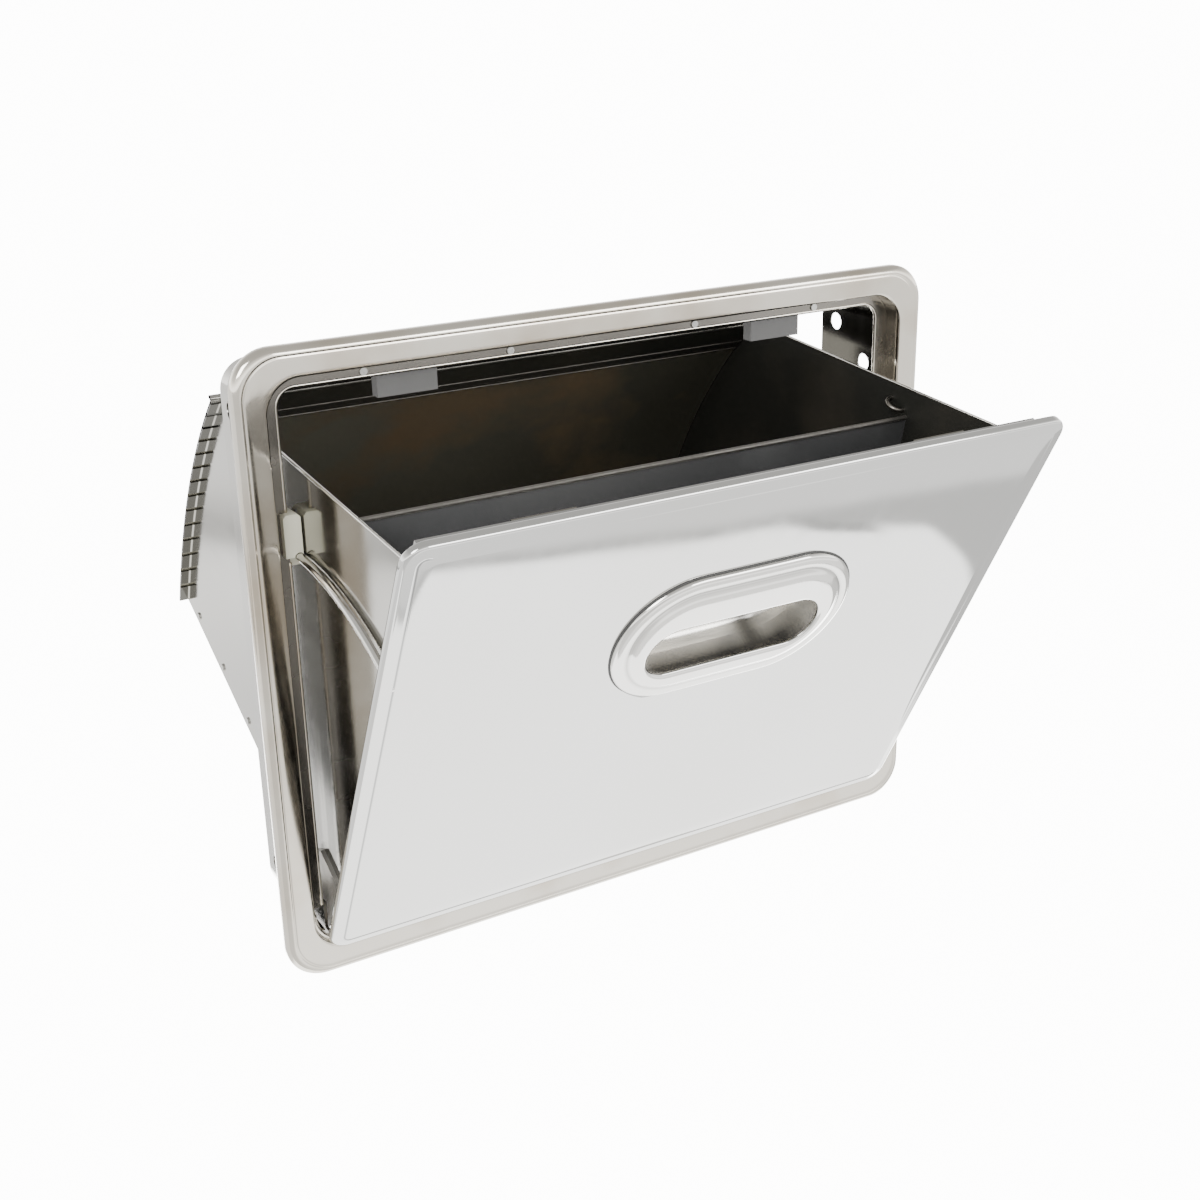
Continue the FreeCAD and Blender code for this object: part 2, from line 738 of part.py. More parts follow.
def arc_strip(r0, r1, first, last, x0, x1):
    """A curved sheet between two radii about the rear arc's centre, from x0 to x1."""
    centre = rear_arc()[0]

    def at(radius, angle):
        return V(x0, centre.y + radius * math.cos(angle), centre.z + radius * math.sin(angle))

    mid = (first + last) / 2
    edges = [
        Part.Arc(at(r0, first), at(r0, mid), at(r0, last)).toShape(),
        Part.LineSegment(at(r0, last), at(r1, last)).toShape(),
        Part.Arc(at(r1, last), at(r1, mid), at(r1, first)).toShape(),
        Part.LineSegment(at(r1, first), at(r0, first)).toShape(),
    ]
    return Part.Face(Part.Wire(edges)).extrude(V(x1 - x0, 0, 0))


def make_bin_side():
    """Right side panel with a curved rear edge and a row of tabs turned outwards along it."""
    centre, first, last = rear_arc()
    mid = (first + last) / 2

    def at(angle):
        return V(bin_inner, centre.y + rear_arc_r * math.cos(angle), centre.z + rear_arc_r * math.sin(angle))

    corners = [
        V(bin_inner, rear_bottom_y, floor_z),
        V(bin_inner, door_back_y + bin_front_rise_run, floor_z),
        V(bin_inner, door_back_y, floor_z + bin_front_rise),
        V(bin_inner, door_back_y, rim_front_z),
        V(bin_inner, rear_top_y, rim_rear_z),
    ]
    edges = [Part.LineSegment(a, b).toShape() for a, b in zip(corners, corners[1:])]
    edges.append(Part.Arc(corners[-1], at(mid), corners[0]).toShape())
    side = Part.Face(Part.Wire(edges)).extrude(V(bin_sheet, 0, 0))
    pitch = (last - first) / tab_count
    for i in range(tab_count):
        a = first + (i + 0.5 - tab_share / 2) * pitch
        end = a + tab_share * pitch
        tab = arc_strip(rear_arc_r - bin_sheet, rear_arc_r, a, end, bin_inner, bin_half + tab_width)
        side = side.fuse(tab)
    for y, z in bin_rivet_places():
        side = side.cut(cylinder(rivet_shank_r, V(bin_inner - 1, y, z), V(1, 0, 0), bin_sheet + 2))
    return side.removeSplitter()


def make_bin_back():
    """Curved back sheet over the tabs, with a rolled bead along its top edge."""
    centre, first, last = rear_arc()
    half = bin_half + back_overhang
    sheet = arc_strip(rear_arc_r, rear_arc_r + bin_sheet, first, last, -half, half)
    r = rear_arc_r + back_bead_r
    bead_at = V(-half, centre.y + r * math.cos(first), centre.z + r * math.sin(first))
    return sheet.fuse(cylinder(back_bead_r, bead_at, V(1, 0, 0), 2 * half)).removeSplitter()


def make_bin_floor():
    """Floor sheet between the sides, its long edges turned up against them."""
    t = bin_sheet
    y0 = inner_wall_foot_y - 4.0
    y1 = rear_bottom_y - 8.0
    sheet = box(-bin_inner, bin_inner, y0, rear_bottom_y - 0.2, floor_z, floor_z + t)
    for side in (-1, 1):
        x0 = min(side * bin_inner, side * (bin_inner - t))
        sheet = sheet.fuse(box(x0, x0 + t, inner_wall_foot_y + 12.0, y1, floor_z, floor_z + floor_flange))
    for y, z in bin_rivet_places():
        hole = cylinder(rivet_shank_r, V(bin_inner - t - 1, y, z), V(1, 0, 0), t + 2)
        sheet = sheet.cut(hole).cut(other_side(hole))
    return sheet.removeSplitter()


def bin_rivet_places():
    """Rivets along the foot of each bin side, as (y, z)."""
    first = pivot_y + arm_rear + 3 * rivet_r
    last = rear_bottom_y - 25.0
    count = 5
    z = floor_z + bin_sheet + (floor_flange - bin_sheet) / 2
    return [(first + (last - first) * i / (count - 1), z) for i in range(count)]


def make_bin_rivets():
    """Rivets that join both sides to the floor's turned-up edges."""
    rivets = []
    for y, z in bin_rivet_places():
        rivet = rivet_x(y, z, bin_inner - bin_sheet, bin_half)
        rivets += [rivet, other_side(rivet)]
    return Part.makeCompound(rivets)


def make_bin_front():
    """Leaning inner wall between the sides, from the floor up to a round hem."""
    t = bin_sheet
    foot_z = floor_z + t
    run = inner_wall_top_y - inner_wall_foot_y
    rise = inner_wall_top_z - foot_z
    slope = math.hypot(run, rise)
    across = t * slope / rise
    outline = [
        (inner_wall_foot_y, foot_z),
        (inner_wall_top_y, inner_wall_top_z),
        (inner_wall_top_y + across, inner_wall_top_z),
        (inner_wall_foot_y + across, foot_z),
    ]
    wall = plate_yz(outline, -bin_inner, bin_inner)
    hem_at = V(-bin_inner, inner_wall_top_y + across / 2, inner_wall_top_z)
    return wall.fuse(cylinder(inner_wall_hem_r, hem_at, V(1, 0, 0), 2 * bin_inner)).removeSplitter()


def make_pivot_arm():
    """Right gusset plate on the bin side, reaching down and forward to the pivot eye."""
    top_z = pivot_z + arm_top
    outline = [
        (pivot_y - arm_eye_r * 0.6, pivot_z + arm_eye_r * 0.8),
        (pivot_y + 5.0, top_z),
        (pivot_y + 0.6 * arm_rear, top_z),
        (pivot_y + arm_rear, floor_z + 5.0),
        (pivot_y + arm_eye_r * 0.8, pivot_z - arm_eye_r * 0.6),
    ]
    arm = plate_yz(outline, bin_half, arm_outer)
    arm = arm.fuse(cylinder(arm_eye_r, V(bin_half, pivot_y, pivot_z), V(1, 0, 0), arm_sheet)).removeSplitter()
    return arm.cut(cylinder(bush_r, V(bin_half - 1, pivot_y, pivot_z), V(1, 0, 0), arm_sheet + 2))


def make_pivot_bush():
    """Flanged plain bush in the eye of the arm."""
    body = cylinder(bush_r, V(bin_half, pivot_y, pivot_z), V(1, 0, 0), arm_sheet)
    flange = cylinder(bush_flange_r, V(arm_outer, pivot_y, pivot_z), V(1, 0, 0), bush_flange)
    bush = body.fuse(flange).removeSplitter()
    return bush.cut(cylinder(pin_r + pin_fit, V(bin_half - 1, pivot_y, pivot_z), V(1, 0, 0), arm_sheet + 3))


def make_stop_pin():
    """Cross pin in the rod's rear end that meets the guide block when the drawer is fully open."""
    half = stop_pin_length / 2
    pin = cylinder(stop_pin_r, V(rod_x, pivot_y, rod_top_z - half), V(0, 0, 1), stop_pin_length)
    pin.rotate(pivot_point, V(-1, 0, 0), open_angle + stop_pin_angle)
    return pin


def make_guide_rod():
    """Right rod: straight from the door's back, then bent about the pivot line, drilled for its stop pin."""
    straight = cylinder(rod_r, V(rod_x, rod_start_y, rod_top_z), V(0, 1, 0), pivot_y - rod_start_y)
    rod = straight.fuse(rod_sweep(rod_r, 0.0, rod_end_angle)).removeSplitter()
    return rod.cut(make_stop_pin())


def make_strike_plate():
    """Steel plate on the door liner, opposite a catch."""
    half = catch_width / 2
    top = liner_top - strike_top_margin
    return box(catch_x - half, catch_x + half, liner_rear_y, strike_rear_y, top - strike_height, top)


def make_bag_hook():
    """Half ring of wire standing inwards from the bin side, just below its rim."""
    rim_z = rim_front_z + (rim_rear_z - rim_front_z) * (hook_y - door_back_y) / (rear_top_y - door_back_y)
    z = rim_z - hook_rim_drop
    start = Part.Circle(V(bin_inner, hook_y + hook_r, z), V(1, 0, 0), hook_wire_r).toShape()
    face = Part.Face(Part.Wire([start]))
    return face.revolve(V(bin_inner, hook_y, z), V(0, 0, 1), 180)


# Writing every piece

os.makedirs("parts", exist_ok=True)

save("face_frame", make_face_frame())
save("stop_lip", make_stop_lip())
fixed_pairs = {
    "side_collar": make_side_collar(),
    "pivot_bracket": make_pivot_bracket(),
    "pivot_pin": make_pivot_pin(),
    "guide_block": make_guide_block(),
    "catch_bracket": make_catch_bracket(),
    "catch_magnet": make_catch_magnet(),
}
for name, shape in fixed_pairs.items():
    save(name + "_right", shape)
    save(name + "_left", other_side(shape))
save("bracket_rivets", make_bracket_rivets())
save("retaining_clips", both_sides(make_retaining_clip()))
save("guide_block_screws", make_guide_block_screws())
save("catch_rivets", make_catch_rivets())
save("catch_screws", make_catch_screws())

moving_single = {
    "door_skin": make_door_skin(),
    "door_liner": make_door_liner(),
    "handle_bezel": make_handle_bezel(),
    "handle_cup": make_handle_cup(),
    "handle_studs": make_handle_studs(),
    "handle_nuts": make_handle_nuts(),
    "bin_back": make_bin_back(),
    "bin_floor": make_bin_floor(),
    "bin_front": make_bin_front(),
    "bin_rivets": make_bin_rivets(),
    "rod_stop_pins": both_sides(make_stop_pin()),
}
for name, shape in moving_single.items():
    save(name, tilted(shape))
moving_pairs = {
    "bin_side": make_bin_side(),
    "pivot_arm": make_pivot_arm(),
    "pivot_bush": make_pivot_bush(),
    "guide_rod": make_guide_rod(),
    "strike_plate": make_strike_plate(),
    "bag_hook": make_bag_hook(),
}
for name, shape in moving_pairs.items():
    save(name + "_right", tilted(shape))
    save(name + "_left", tilted(other_side(shape)))
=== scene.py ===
import bmesh
import bpy
import math
import mathutils
import numpy as np
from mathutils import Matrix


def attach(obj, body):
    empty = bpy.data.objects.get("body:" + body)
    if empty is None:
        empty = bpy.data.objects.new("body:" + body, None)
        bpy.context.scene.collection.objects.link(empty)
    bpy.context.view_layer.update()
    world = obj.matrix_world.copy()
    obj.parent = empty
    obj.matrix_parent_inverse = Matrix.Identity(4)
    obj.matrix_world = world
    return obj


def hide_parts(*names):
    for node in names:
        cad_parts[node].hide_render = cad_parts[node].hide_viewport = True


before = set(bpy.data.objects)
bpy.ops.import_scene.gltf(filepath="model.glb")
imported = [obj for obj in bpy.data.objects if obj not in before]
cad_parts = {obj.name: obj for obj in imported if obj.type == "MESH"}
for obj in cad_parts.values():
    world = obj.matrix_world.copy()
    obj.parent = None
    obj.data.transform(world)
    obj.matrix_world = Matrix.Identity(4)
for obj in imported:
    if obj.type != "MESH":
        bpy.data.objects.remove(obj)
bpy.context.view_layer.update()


# The studio: a flat pale floor that glows in patches, air that darkens upwards and two soft boxes, so
# that the polished sheet mirrors a bright floor below and deep tones above. The floor lies well under
# the drawer, and its patches are what the door and the bin's side are seen to mirror.

def studio_floor_grid(half, depth, count):
    """A flat square of side 2*half at height depth: x and y run evenly from -half to half."""
    a = np.linspace(-half, half, count)
    x, y = np.meshgrid(a, a, indexing="ij")
    return np.stack([x, y, np.full_like(x, depth)], -1)


def grid_faces(nu, nv, close_u, close_v, flip):
    """Quads of an nu by nv grid of points; a closed direction joins its last row to its first."""
    ids = np.arange(nu * nv).reshape(nu, nv)
    if close_u:
        ids = np.concatenate([ids, ids[:1]], 0)
    if close_v:
        ids = np.concatenate([ids, ids[:, :1]], 1)
    quads = np.stack([ids[:-1, :-1], ids[1:, :-1], ids[1:, 1:], ids[:-1, 1:]], -1).reshape(-1, 4)
    return quads[:, ::-1] if flip else quads


def piece_from_grid(name, points, close_u=False, close_v=False, flip=False, crease=None):
    """A mesh object at the origin whose surface is the given grid of points, in metres. Points that
    coincide are joined; crease, if given, is a value kept at each point."""
    nu, nv = points.shape[:2]
    mesh = bpy.data.meshes.new(name)
    faces = grid_faces(nu, nv, close_u, close_v, flip)
    mesh.from_pydata(points.reshape(-1, 3).tolist(), [], faces.tolist())
    if crease is not None:
        mesh.attributes.new("crease", "FLOAT", "POINT").data.foreach_set("value", crease.ravel())
    weld = bmesh.new()
    weld.from_mesh(mesh)
    bmesh.ops.remove_doubles(weld, verts=weld.verts, dist=1e-7)
    weld.to_mesh(mesh)
    weld.free()
    mesh.polygons.foreach_set("use_smooth", np.full(len(mesh.polygons), True))
    mesh.update()
    piece = bpy.data.objects.new(name, mesh)
    bpy.context.scene.collection.objects.link(piece)
    return piece


def feed(tree, node, sockets):
    """Fills a node's inputs: each is a value to set, or another node's output to link from."""
    for key, value in sockets.items():
        if isinstance(value, bpy.types.NodeSocket):
            tree.links.new(value, node.inputs[key])
        else:
            node.inputs[key].default_value = value


def add_node(tree, kind, sockets, **settings):
    """A new node of the given kind, with its properties set first and then its inputs filled."""
    node = tree.nodes.new(kind)
    for key, value in settings.items():
        setattr(node, key, value)
    feed(tree, node, sockets)
    return node


def new_finish(name):
    """A bare finish: the material, its node tree, its shader and the piece's own coordinates."""
    finish = bpy.data.materials.new(name)
    finish.use_nodes = True
    tree = finish.node_tree
    where = add_node(tree, "ShaderNodeTexCoord", {})
    return finish, tree, tree.nodes["Principled BSDF"], where.outputs["Object"]


floor_drop = -1.5
floor_half = 300.0
floor = piece_from_grid("studio_floor", studio_floor_grid(floor_half, floor_drop, 3))
floor_paint, floor_tree, floor_shader, floor_where = new_finish("studio_white")


def floor_edge(across, offset, soft):
    """How far a floor point lies over a straight line, as a soft step from 0 to 1: the line is where
    the point's product with across equals offset."""
    over = add_node(floor_tree, "ShaderNodeVectorMath", {0: floor_where, 1: across}, operation="DOT_PRODUCT")
    step = add_node(floor_tree, "ShaderNodeMapRange", {
        "Value": over.outputs["Value"], "From Min": offset - soft, "From Max": offset + soft},
        interpolation_type="SMOOTHSTEP")
    return step.outputs["Result"]


def floor_both(first, *others):
    """The product of several soft steps: one only where a floor point lies over all the lines."""
    for other in others:
        both = add_node(floor_tree, "ShaderNodeMath", {0: first, 1: other}, operation="MULTIPLY")
        first = both.outputs["Value"]
    return first


def floor_glow(step, before, after):
    """Glow that runs from before to after with a soft step; each is a number or another glow."""
    mix = add_node(floor_tree, "ShaderNodeMix", {"Factor": step, "A": before, "B": after},
                   data_type="FLOAT")
    return mix.outputs["Result"]


# The white ground that the picture shows behind the drawer. It ends in front and on the left, where
# the door and the bin's side would mirror it.
ground_glow = 13.0
ground_front = floor_edge((0.5, 0.866, 0.0), 0.98, 0.1)
ground_left = floor_edge((0.985, -0.176, 0.0), -0.95, 0.2)
ground_right = floor_edge((-0.53, 0.848, 0.0), -0.70, 0.15)
ground = floor_both(ground_front, ground_left, ground_right)

# What the bin's left side mirrors, from far to near: a pale floor that falls to grey, then a sharp
# edge and a pale floor again.
side_across = (0.82, -0.57, 0.0)
side_far = floor_edge(side_across, -4.25, 0.40)
side_edge = floor_edge(side_across, -3.92, 0.03)
side_near = floor_edge(side_across, -3.15, 0.5)
far_glow = floor_glow(side_far, 1.45, 0.08)
edge_glow = floor_glow(side_near, 1.95, 1.3)
side_glow = floor_glow(side_edge, far_glow, edge_glow)

# The pale field that the door mirrors, ended by four lines, and a dark streak across its corner. On
# the left it passes into what the bin's side mirrors.
field_across = (-0.048, 1.0, 0.0)
field_front = floor_edge(field_across, -0.590, 0.010)
field_corner = floor_edge((-0.26, 1.0, 0.0), -0.846, 0.016)
field_turn = floor_edge((-1.44, 1.0, 0.0), -2.584, 0.03)
field_right = floor_edge((-1.0, 0.0, 0.0), -1.53, 0.02)
field = floor_both(field_front, field_corner, field_turn, field_right)
field_glow = floor_glow(ground_left, side_glow, 3.6)
streak_front = floor_edge((-0.27, 1.0, 0.0), -0.868, 0.006)
streak_back = floor_edge((0.27, -1.0, 0.0), 0.844, 0.006)
streak_left = floor_edge((1.0, 0.0, 0.0), 1.17, 0.05)
streak_right = floor_edge((-1.0, 0.0, 0.0), -1.36, 0.03)
streak = floor_both(streak_front, streak_back, streak_left, streak_right)
streak_glow = 0.35

# The greyer floor in front of the field, with a paler belt that the bottom rail mirrors and a dimmer
# part on the left.
rail_far = floor_edge((0.0, 1.0, 0.0), -2.7, 0.4)
rail_near = floor_edge((0.0, -1.0, 0.0), 1.45, 0.15)
rail_glow = floor_glow(floor_both(rail_far, rail_near), 1.35, 2.1)
fore_line = floor_edge(field_across, -0.612, 0.014)
fore_left = floor_edge((1.0, 0.0, 0.0), -0.2, 0.3)
fore_glow = floor_glow(fore_left, 0.8, floor_glow(fore_line, rail_glow, 0.6))

near_glow = floor_glow(streak, floor_glow(field, fore_glow, field_glow), streak_glow)
feed(floor_tree, floor_shader, {
    "Base Color": (0.45, 0.45, 0.45, 1), "Roughness": 0.95, "Emission Color": (1.0, 1.0, 0.99, 1),
    "Emission Strength": floor_glow(ground, near_glow, ground_glow)})
floor.data.materials.append(floor_paint)

world = bpy.data.worlds.new("studio_air")
bpy.context.scene.world = world
world.use_nodes = True
air = world.node_tree
air_where = add_node(air, "ShaderNodeTexCoord", {})
air_split = add_node(air, "ShaderNodeSeparateXYZ", {0: air_where.outputs["Generated"]})
air_ramp = add_node(air, "ShaderNodeValToRGB", {0: air_split.outputs["Z"]})
air_strength = 4.2
feed(air, air.nodes["Background"], {"Color": air_ramp.outputs["Color"], "Strength": air_strength})
air_stops = air_ramp.color_ramp.elements
air_stops[0].position = 0.0
air_stops[0].color = (1.0, 1.0, 0.99, 1)
air_stops[1].position = 1.0
air_stops[1].color = (0.20, 0.198, 0.19, 1)
for height, tone in ((0.10, 0.90), (0.30, 0.42), (0.6, 0.22)):
    air_stops.new(height).color = (tone, tone * 0.985, tone * 0.96, 1)


def soft_box(name, place, width, height, power):
    """A rectangular lamp at place, turned so that its face looks at the origin: its axes are the
    direction from the origin, the level normal to that, and the normal to both."""
    lamp = bpy.data.lights.new(name, "AREA")
    lamp.shape = "RECTANGLE"
    lamp.size = width
    lamp.size_y = height
    lamp.energy = power
    lit = bpy.data.objects.new(name, lamp)
    bpy.context.scene.collection.objects.link(lit)
    away = np.array(place) / np.linalg.norm(place)
    side = np.cross((0, 0, 1), away)
    side = side / np.linalg.norm(side)
    turn = np.eye(4)
    turn[:3, 0] = side
    turn[:3, 1] = np.cross(away, side)
    turn[:3, 2] = away
    turn[:3, 3] = place
    lit.matrix_world = mathutils.Matrix(turn.tolist())


soft_box("soft_box_left", place=(-1.9, -1.5, 1.7), width=1.2, height=1.2, power=60)
soft_box("soft_box_front", place=(1.4, -2.6, 0.9), width=1.6, height=0.9, power=40)

# The camera stands front left of the drawer and looks down on it; angles and place are solved from
# the face frame's four edges in the picture, which is 1200 pixels square.
picture_px = 1200
focal_px = 1637.1
sensor_mm = 36.0
camera_yaw = math.radians(30.13)
camera_pitch = math.radians(20.94)
camera_roll = math.radians(1.24)
camera_place = np.array((-0.5314, -0.8960, 0.4034))
look = np.array((math.sin(camera_yaw) * math.cos(camera_pitch),
                 math.cos(camera_yaw) * math.cos(camera_pitch), -math.sin(camera_pitch)))
level = np.array((math.cos(camera_yaw), -math.sin(camera_yaw), 0.0))
down = np.cross(look, level)
camera_turn = np.eye(4)
camera_turn[:3, 0] = math.cos(camera_roll) * level + math.sin(camera_roll) * down
camera_turn[:3, 1] = math.sin(camera_roll) * level - math.cos(camera_roll) * down
camera_turn[:3, 2] = -look
camera_turn[:3, 3] = camera_place
camera = bpy.data.objects.new("camera", bpy.data.cameras.new("camera"))
camera.data.sensor_width = sensor_mm
camera.data.lens = sensor_mm * focal_px / picture_px
camera.data.clip_start = 0.01
camera.matrix_world = mathutils.Matrix(camera_turn.tolist())
bpy.context.scene.collection.objects.link(camera)
bpy.context.scene.camera = camera


# Face frame: one stainless sheet pressed into a flat border with a rolled outer edge, a fine step
# inside that roll and a wall turned back round the opening. Polished, with faint polishing lines.

def steel_finish(name, tint, dull, wave, grain, streak, crease=None, crease_dim=0.25):
    """Polished stainless: tint varies by a slow noise, dull is the middle roughness, wave is the
    height of the sheet's slow ripples, grain the height of the polishing lines, and streak the
    lines' stretch along X, Y and Z as noise scales. Crease names a point value of painted shade that
    darkens lines and hollows, to crease_dim of the tint."""
    finish, tree, shader, where = new_finish(name)
    slow = add_node(tree, "ShaderNodeTexNoise", {"Vector": where, "Scale": 6.0, "Detail": 0.5})
    tone = add_node(tree, "ShaderNodeMix", {
        "Factor": slow.outputs["Fac"], "A": (tint[0] * 0.94, tint[1] * 0.925, tint[2] * 0.89, 1),
        "B": (*[min(1.0, c * 1.04) for c in tint], 1)}, data_type="RGBA")
    if crease:
        pressed = add_node(tree, "ShaderNodeAttribute", {}, attribute_name=crease)
        tone = add_node(tree, "ShaderNodeMix", {
            "Factor": pressed.outputs["Fac"], "A": tone.outputs["Result"],
            "B": (*[c * crease_dim for c in tint], 1)}, data_type="RGBA")
    turn = add_node(tree, "ShaderNodeMapping", {"Vector": where, "Scale": streak})
    lines = add_node(tree, "ShaderNodeTexNoise", {
        "Vector": turn.outputs["Vector"], "Scale": 1.0, "Detail": 4.0})
    rough = add_node(tree, "ShaderNodeMapRange", {
        "Value": lines.outputs["Fac"], "From Min": 0.3, "From Max": 0.7,
        "To Min": dull * 0.75, "To Max": dull * 1.3})
    ripple = add_node(tree, "ShaderNodeBump", {
        "Strength": 1.0, "Distance": wave, "Height": slow.outputs["Fac"]})
    scratch = add_node(tree, "ShaderNodeBump", {
        "Strength": 1.0, "Distance": grain, "Height": lines.outputs["Fac"],
        "Normal": ripple.outputs["Normal"]})
    feed(tree, shader, {
        "Metallic": 1.0, "Base Color": tone.outputs["Result"], "Roughness": rough.outputs["Result"],
        "Normal": scratch.outputs["Normal"]})
    return finish


def rounded_outline(half_w, low, high, radius, per_corner, per_side):
    """Round-cornered rectangle: a quarter circle at each corner and an even run along each side.
    Returns x and z with the same count for every size, going anticlockwise from the right."""
    corner = np.linspace(0, math.pi / 2, per_corner)
    centres = ((half_w - radius, high - radius, 0.0), (-half_w + radius, high - radius, math.pi / 2),
               (-half_w + radius, low + radius, math.pi), (half_w - radius, low + radius, 1.5 * math.pi))
    arcs = [np.stack([cx + radius * np.cos(corner + a), cz + radius * np.sin(corner + a)], -1)
            for cx, cz, a in centres]
    run = np.linspace(0, 1, per_side + 2)[1:-1, None]
    parts = []
    for here, after in zip(arcs, arcs[1:] + arcs[:1]):
        parts += [here, here[-1] * (1 - run) + after[0] * run]
    return np.concatenate(parts)


seat_back = 0.008
frame_half_w = 0.254
frame_half_h = 0.2085
frame_corner = 0.026
frame_corner_loss = 0.004
stile = 0.020
rail = 0.019
frame_sheet = 0.0015
relief_z = -0.1655
relief_depth = 0.0045
roll = np.linspace(0, math.pi / 2, 9)
roll_r = 0.005
wall_r = 0.0016
wall_start = 0.0184
frame_profile = np.concatenate([
    np.array([(0.0, seat_back), (0.0, 0.0065)]),
    np.stack([roll_r * (1 - np.cos(roll)), roll_r * (1 - np.sin(roll))], -1),
    np.array([(0.0054, 0.0), (0.0057, 0.00022), (0.0061, 0.00028), (0.0066, 0.00010), (0.0072, 0.0),
              (0.0100, -0.00005), (0.0130, -0.00005), (0.0160, 0.0), (wall_start, 0.0)]),
    np.stack([wall_start + wall_r * np.sin(roll), wall_r * (1 - np.cos(roll))], -1),
    np.array([(0.0200, 0.0035), (0.0200, relief_depth), (0.0200, 0.0120), (0.0200, 0.0136),
              (0.0203, 0.0144), (0.0210, 0.0148), (0.0224, 0.0149)])])


def frame_surface(profile):
    """The profile's inset and depth carried round the frame: at each inset the outline is a round
    rectangle whose corner shrinks from 26 mm outside to 22 mm inside. Below the side walls' relief
    the wall stops at the relief's depth."""
    rings = []
    for inset, depth in profile:
        share = inset / stile
        high = frame_half_h - rail * share
        ring = rounded_outline(frame_half_w - inset, -high, high,
                               frame_corner - frame_corner_loss * share, per_corner=28, per_side=40)
        y = np.full(len(ring), depth)
        deepest = seat_back if inset < 0.001 else relief_depth
        y = np.where(ring[:, 1] < relief_z, np.minimum(y, deepest), y)
        rings.append(np.stack([ring[:, 0], y - seat_back, ring[:, 1]], -1))
    return np.stack(rings, 1)


def give_thickness(piece, sheet):
    """Grows a surface inwards by the thickness of its sheet, so that it is a wall and not a skin."""
    wall = piece.modifiers.new("sheet", "SOLIDIFY")
    wall.thickness = sheet
    wall.offset = -1.0


def heat_tinted(finish, stain, share):
    """Clouds of heat tint over the finish's colour: the upper part of a slow noise mixes in stain, by
    share at most."""
    tree = finish.node_tree
    shader = tree.nodes["Principled BSDF"]
    clean = shader.inputs["Base Color"].links[0].from_socket
    where = add_node(tree, "ShaderNodeTexCoord", {})
    cloud = add_node(tree, "ShaderNodeTexNoise", {
        "Vector": where.outputs["Object"], "Scale": 11.0, "Detail": 4.0})
    edge = add_node(tree, "ShaderNodeMapRange", {
        "Value": cloud.outputs["Fac"], "From Min": 0.47, "From Max": 0.70, "To Max": share})
    tone = add_node(tree, "ShaderNodeMix", {
        "Factor": edge.outputs["Result"], "A": clean, "B": (*stain, 1)}, data_type="RGBA")
    feed(tree, shader, {"Base Color": tone.outputs["Result"]})
    return finish


face_frame = piece_from_grid("frame_border", frame_surface(frame_profile), close_u=True)
give_thickness(face_frame, frame_sheet)
frame_steel = steel_finish("polished_frame", (0.60, 0.570, 0.515), 0.11, 0.0005, 0.000004, (60, 60, 60))
frame_steel = heat_tinted(frame_steel, (0.40, 0.335, 0.255), 0.75)
face_frame.data.materials.append(frame_steel)
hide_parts("face_frame")
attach(face_frame, "frame_body")


# Stop lip: a thin strip welded inside the back of the recess on three sides; its inner edge is
# rolled into a small bright bead, broken where the guide blocks pass.

def paint_node(name, finish):
    """Gives a carried-over solid one finish on every slot."""
    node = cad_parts[name]
    node.data.materials.clear()
    node.data.materials.append(finish)


# Painted shade: the lip's face is tinted dark for the shade behind the frame's edge; the pivot brackets,
# strike plates and bag hooks take the same dark tint.
dark_shade_steel = steel_finish("dark_sheet_painted_shade", (0.20, 0.19, 0.175), 0.24, 0.0002, 0.000001, (40, 40, 40))
paint_node("stop_lip", dark_shade_steel)


def tube_along(path, radius, sides, up):
    """A round tube: at each point of the path a circle in the plane of up and the path's normal."""
    tangent = np.gradient(path, axis=0)
    tangent = tangent / np.linalg.norm(tangent, axis=1)[:, None]
    across = np.cross(tangent, np.asarray(up, float))
    across = across / np.linalg.norm(across, axis=1)[:, None]
    over = np.cross(across, tangent)
    a = np.linspace(0, 2 * math.pi, sides, endpoint=False)
    ring = np.cos(a)[None, :, None] * across[:, None, :] + np.sin(a)[None, :, None] * over[:, None, :]
    return path[:, None, :] + radius * ring


def capped_tube(name, path, radius, sides, up):
    """A tube whose two ends shrink to a point over a half circle, so that it is closed and round."""
    body = tube_along(path, radius, sides, up)
    first = path[0] - path[1]
    last = path[-1] - path[-2]
    first = first / np.linalg.norm(first)
    last = last / np.linalg.norm(last)
    a = np.linspace(0, math.pi / 2, 5)[1:]
    head = [path[0] + (body[0] - path[0]) * math.cos(t) + first * radius * 0.5 * math.sin(t)
            for t in a[::-1]]
    tail = [path[-1] + (body[-1] - path[-1]) * math.cos(t) + last * radius * 0.5 * math.sin(t)
            for t in a]
    rows = np.concatenate([np.array(head), body, np.array(tail)], 0)
    return piece_from_grid(name, rows, close_v=True)


lip_half_w = 0.224
lip_high = 0.1815
lip_corner = 0.012
bead_r = 0.0012
bead_sides = 12
bead_y = 0.0146 - seat_back
bead_break = (0.104, 0.074)
bead_low = -0.164
lip_round = np.linspace(0, math.pi / 2, 12)
bead_corner = np.stack([lip_half_w - lip_corner + lip_corner * np.cos(lip_round),
                        np.full(len(lip_round), bead_y),
                        lip_high - lip_corner + lip_corner * np.sin(lip_round)], -1)
bead_rise = np.concatenate([bead_break[:1], np.linspace(0.110, 0.160, 6)])
bead_side = np.stack([np.full(len(bead_rise), lip_half_w), np.full(len(bead_rise), bead_y), bead_rise], -1)
bead_half = np.concatenate([bead_side, bead_corner])
bead_path = np.concatenate([bead_half, (bead_half * (-1, 1, 1))[::-1]])
beads = [capped_tube("lip_bead_top", bead_path, bead_r, bead_sides, (0, 1, 0))]
bead_fall = np.linspace(bead_break[1], bead_low, 24)
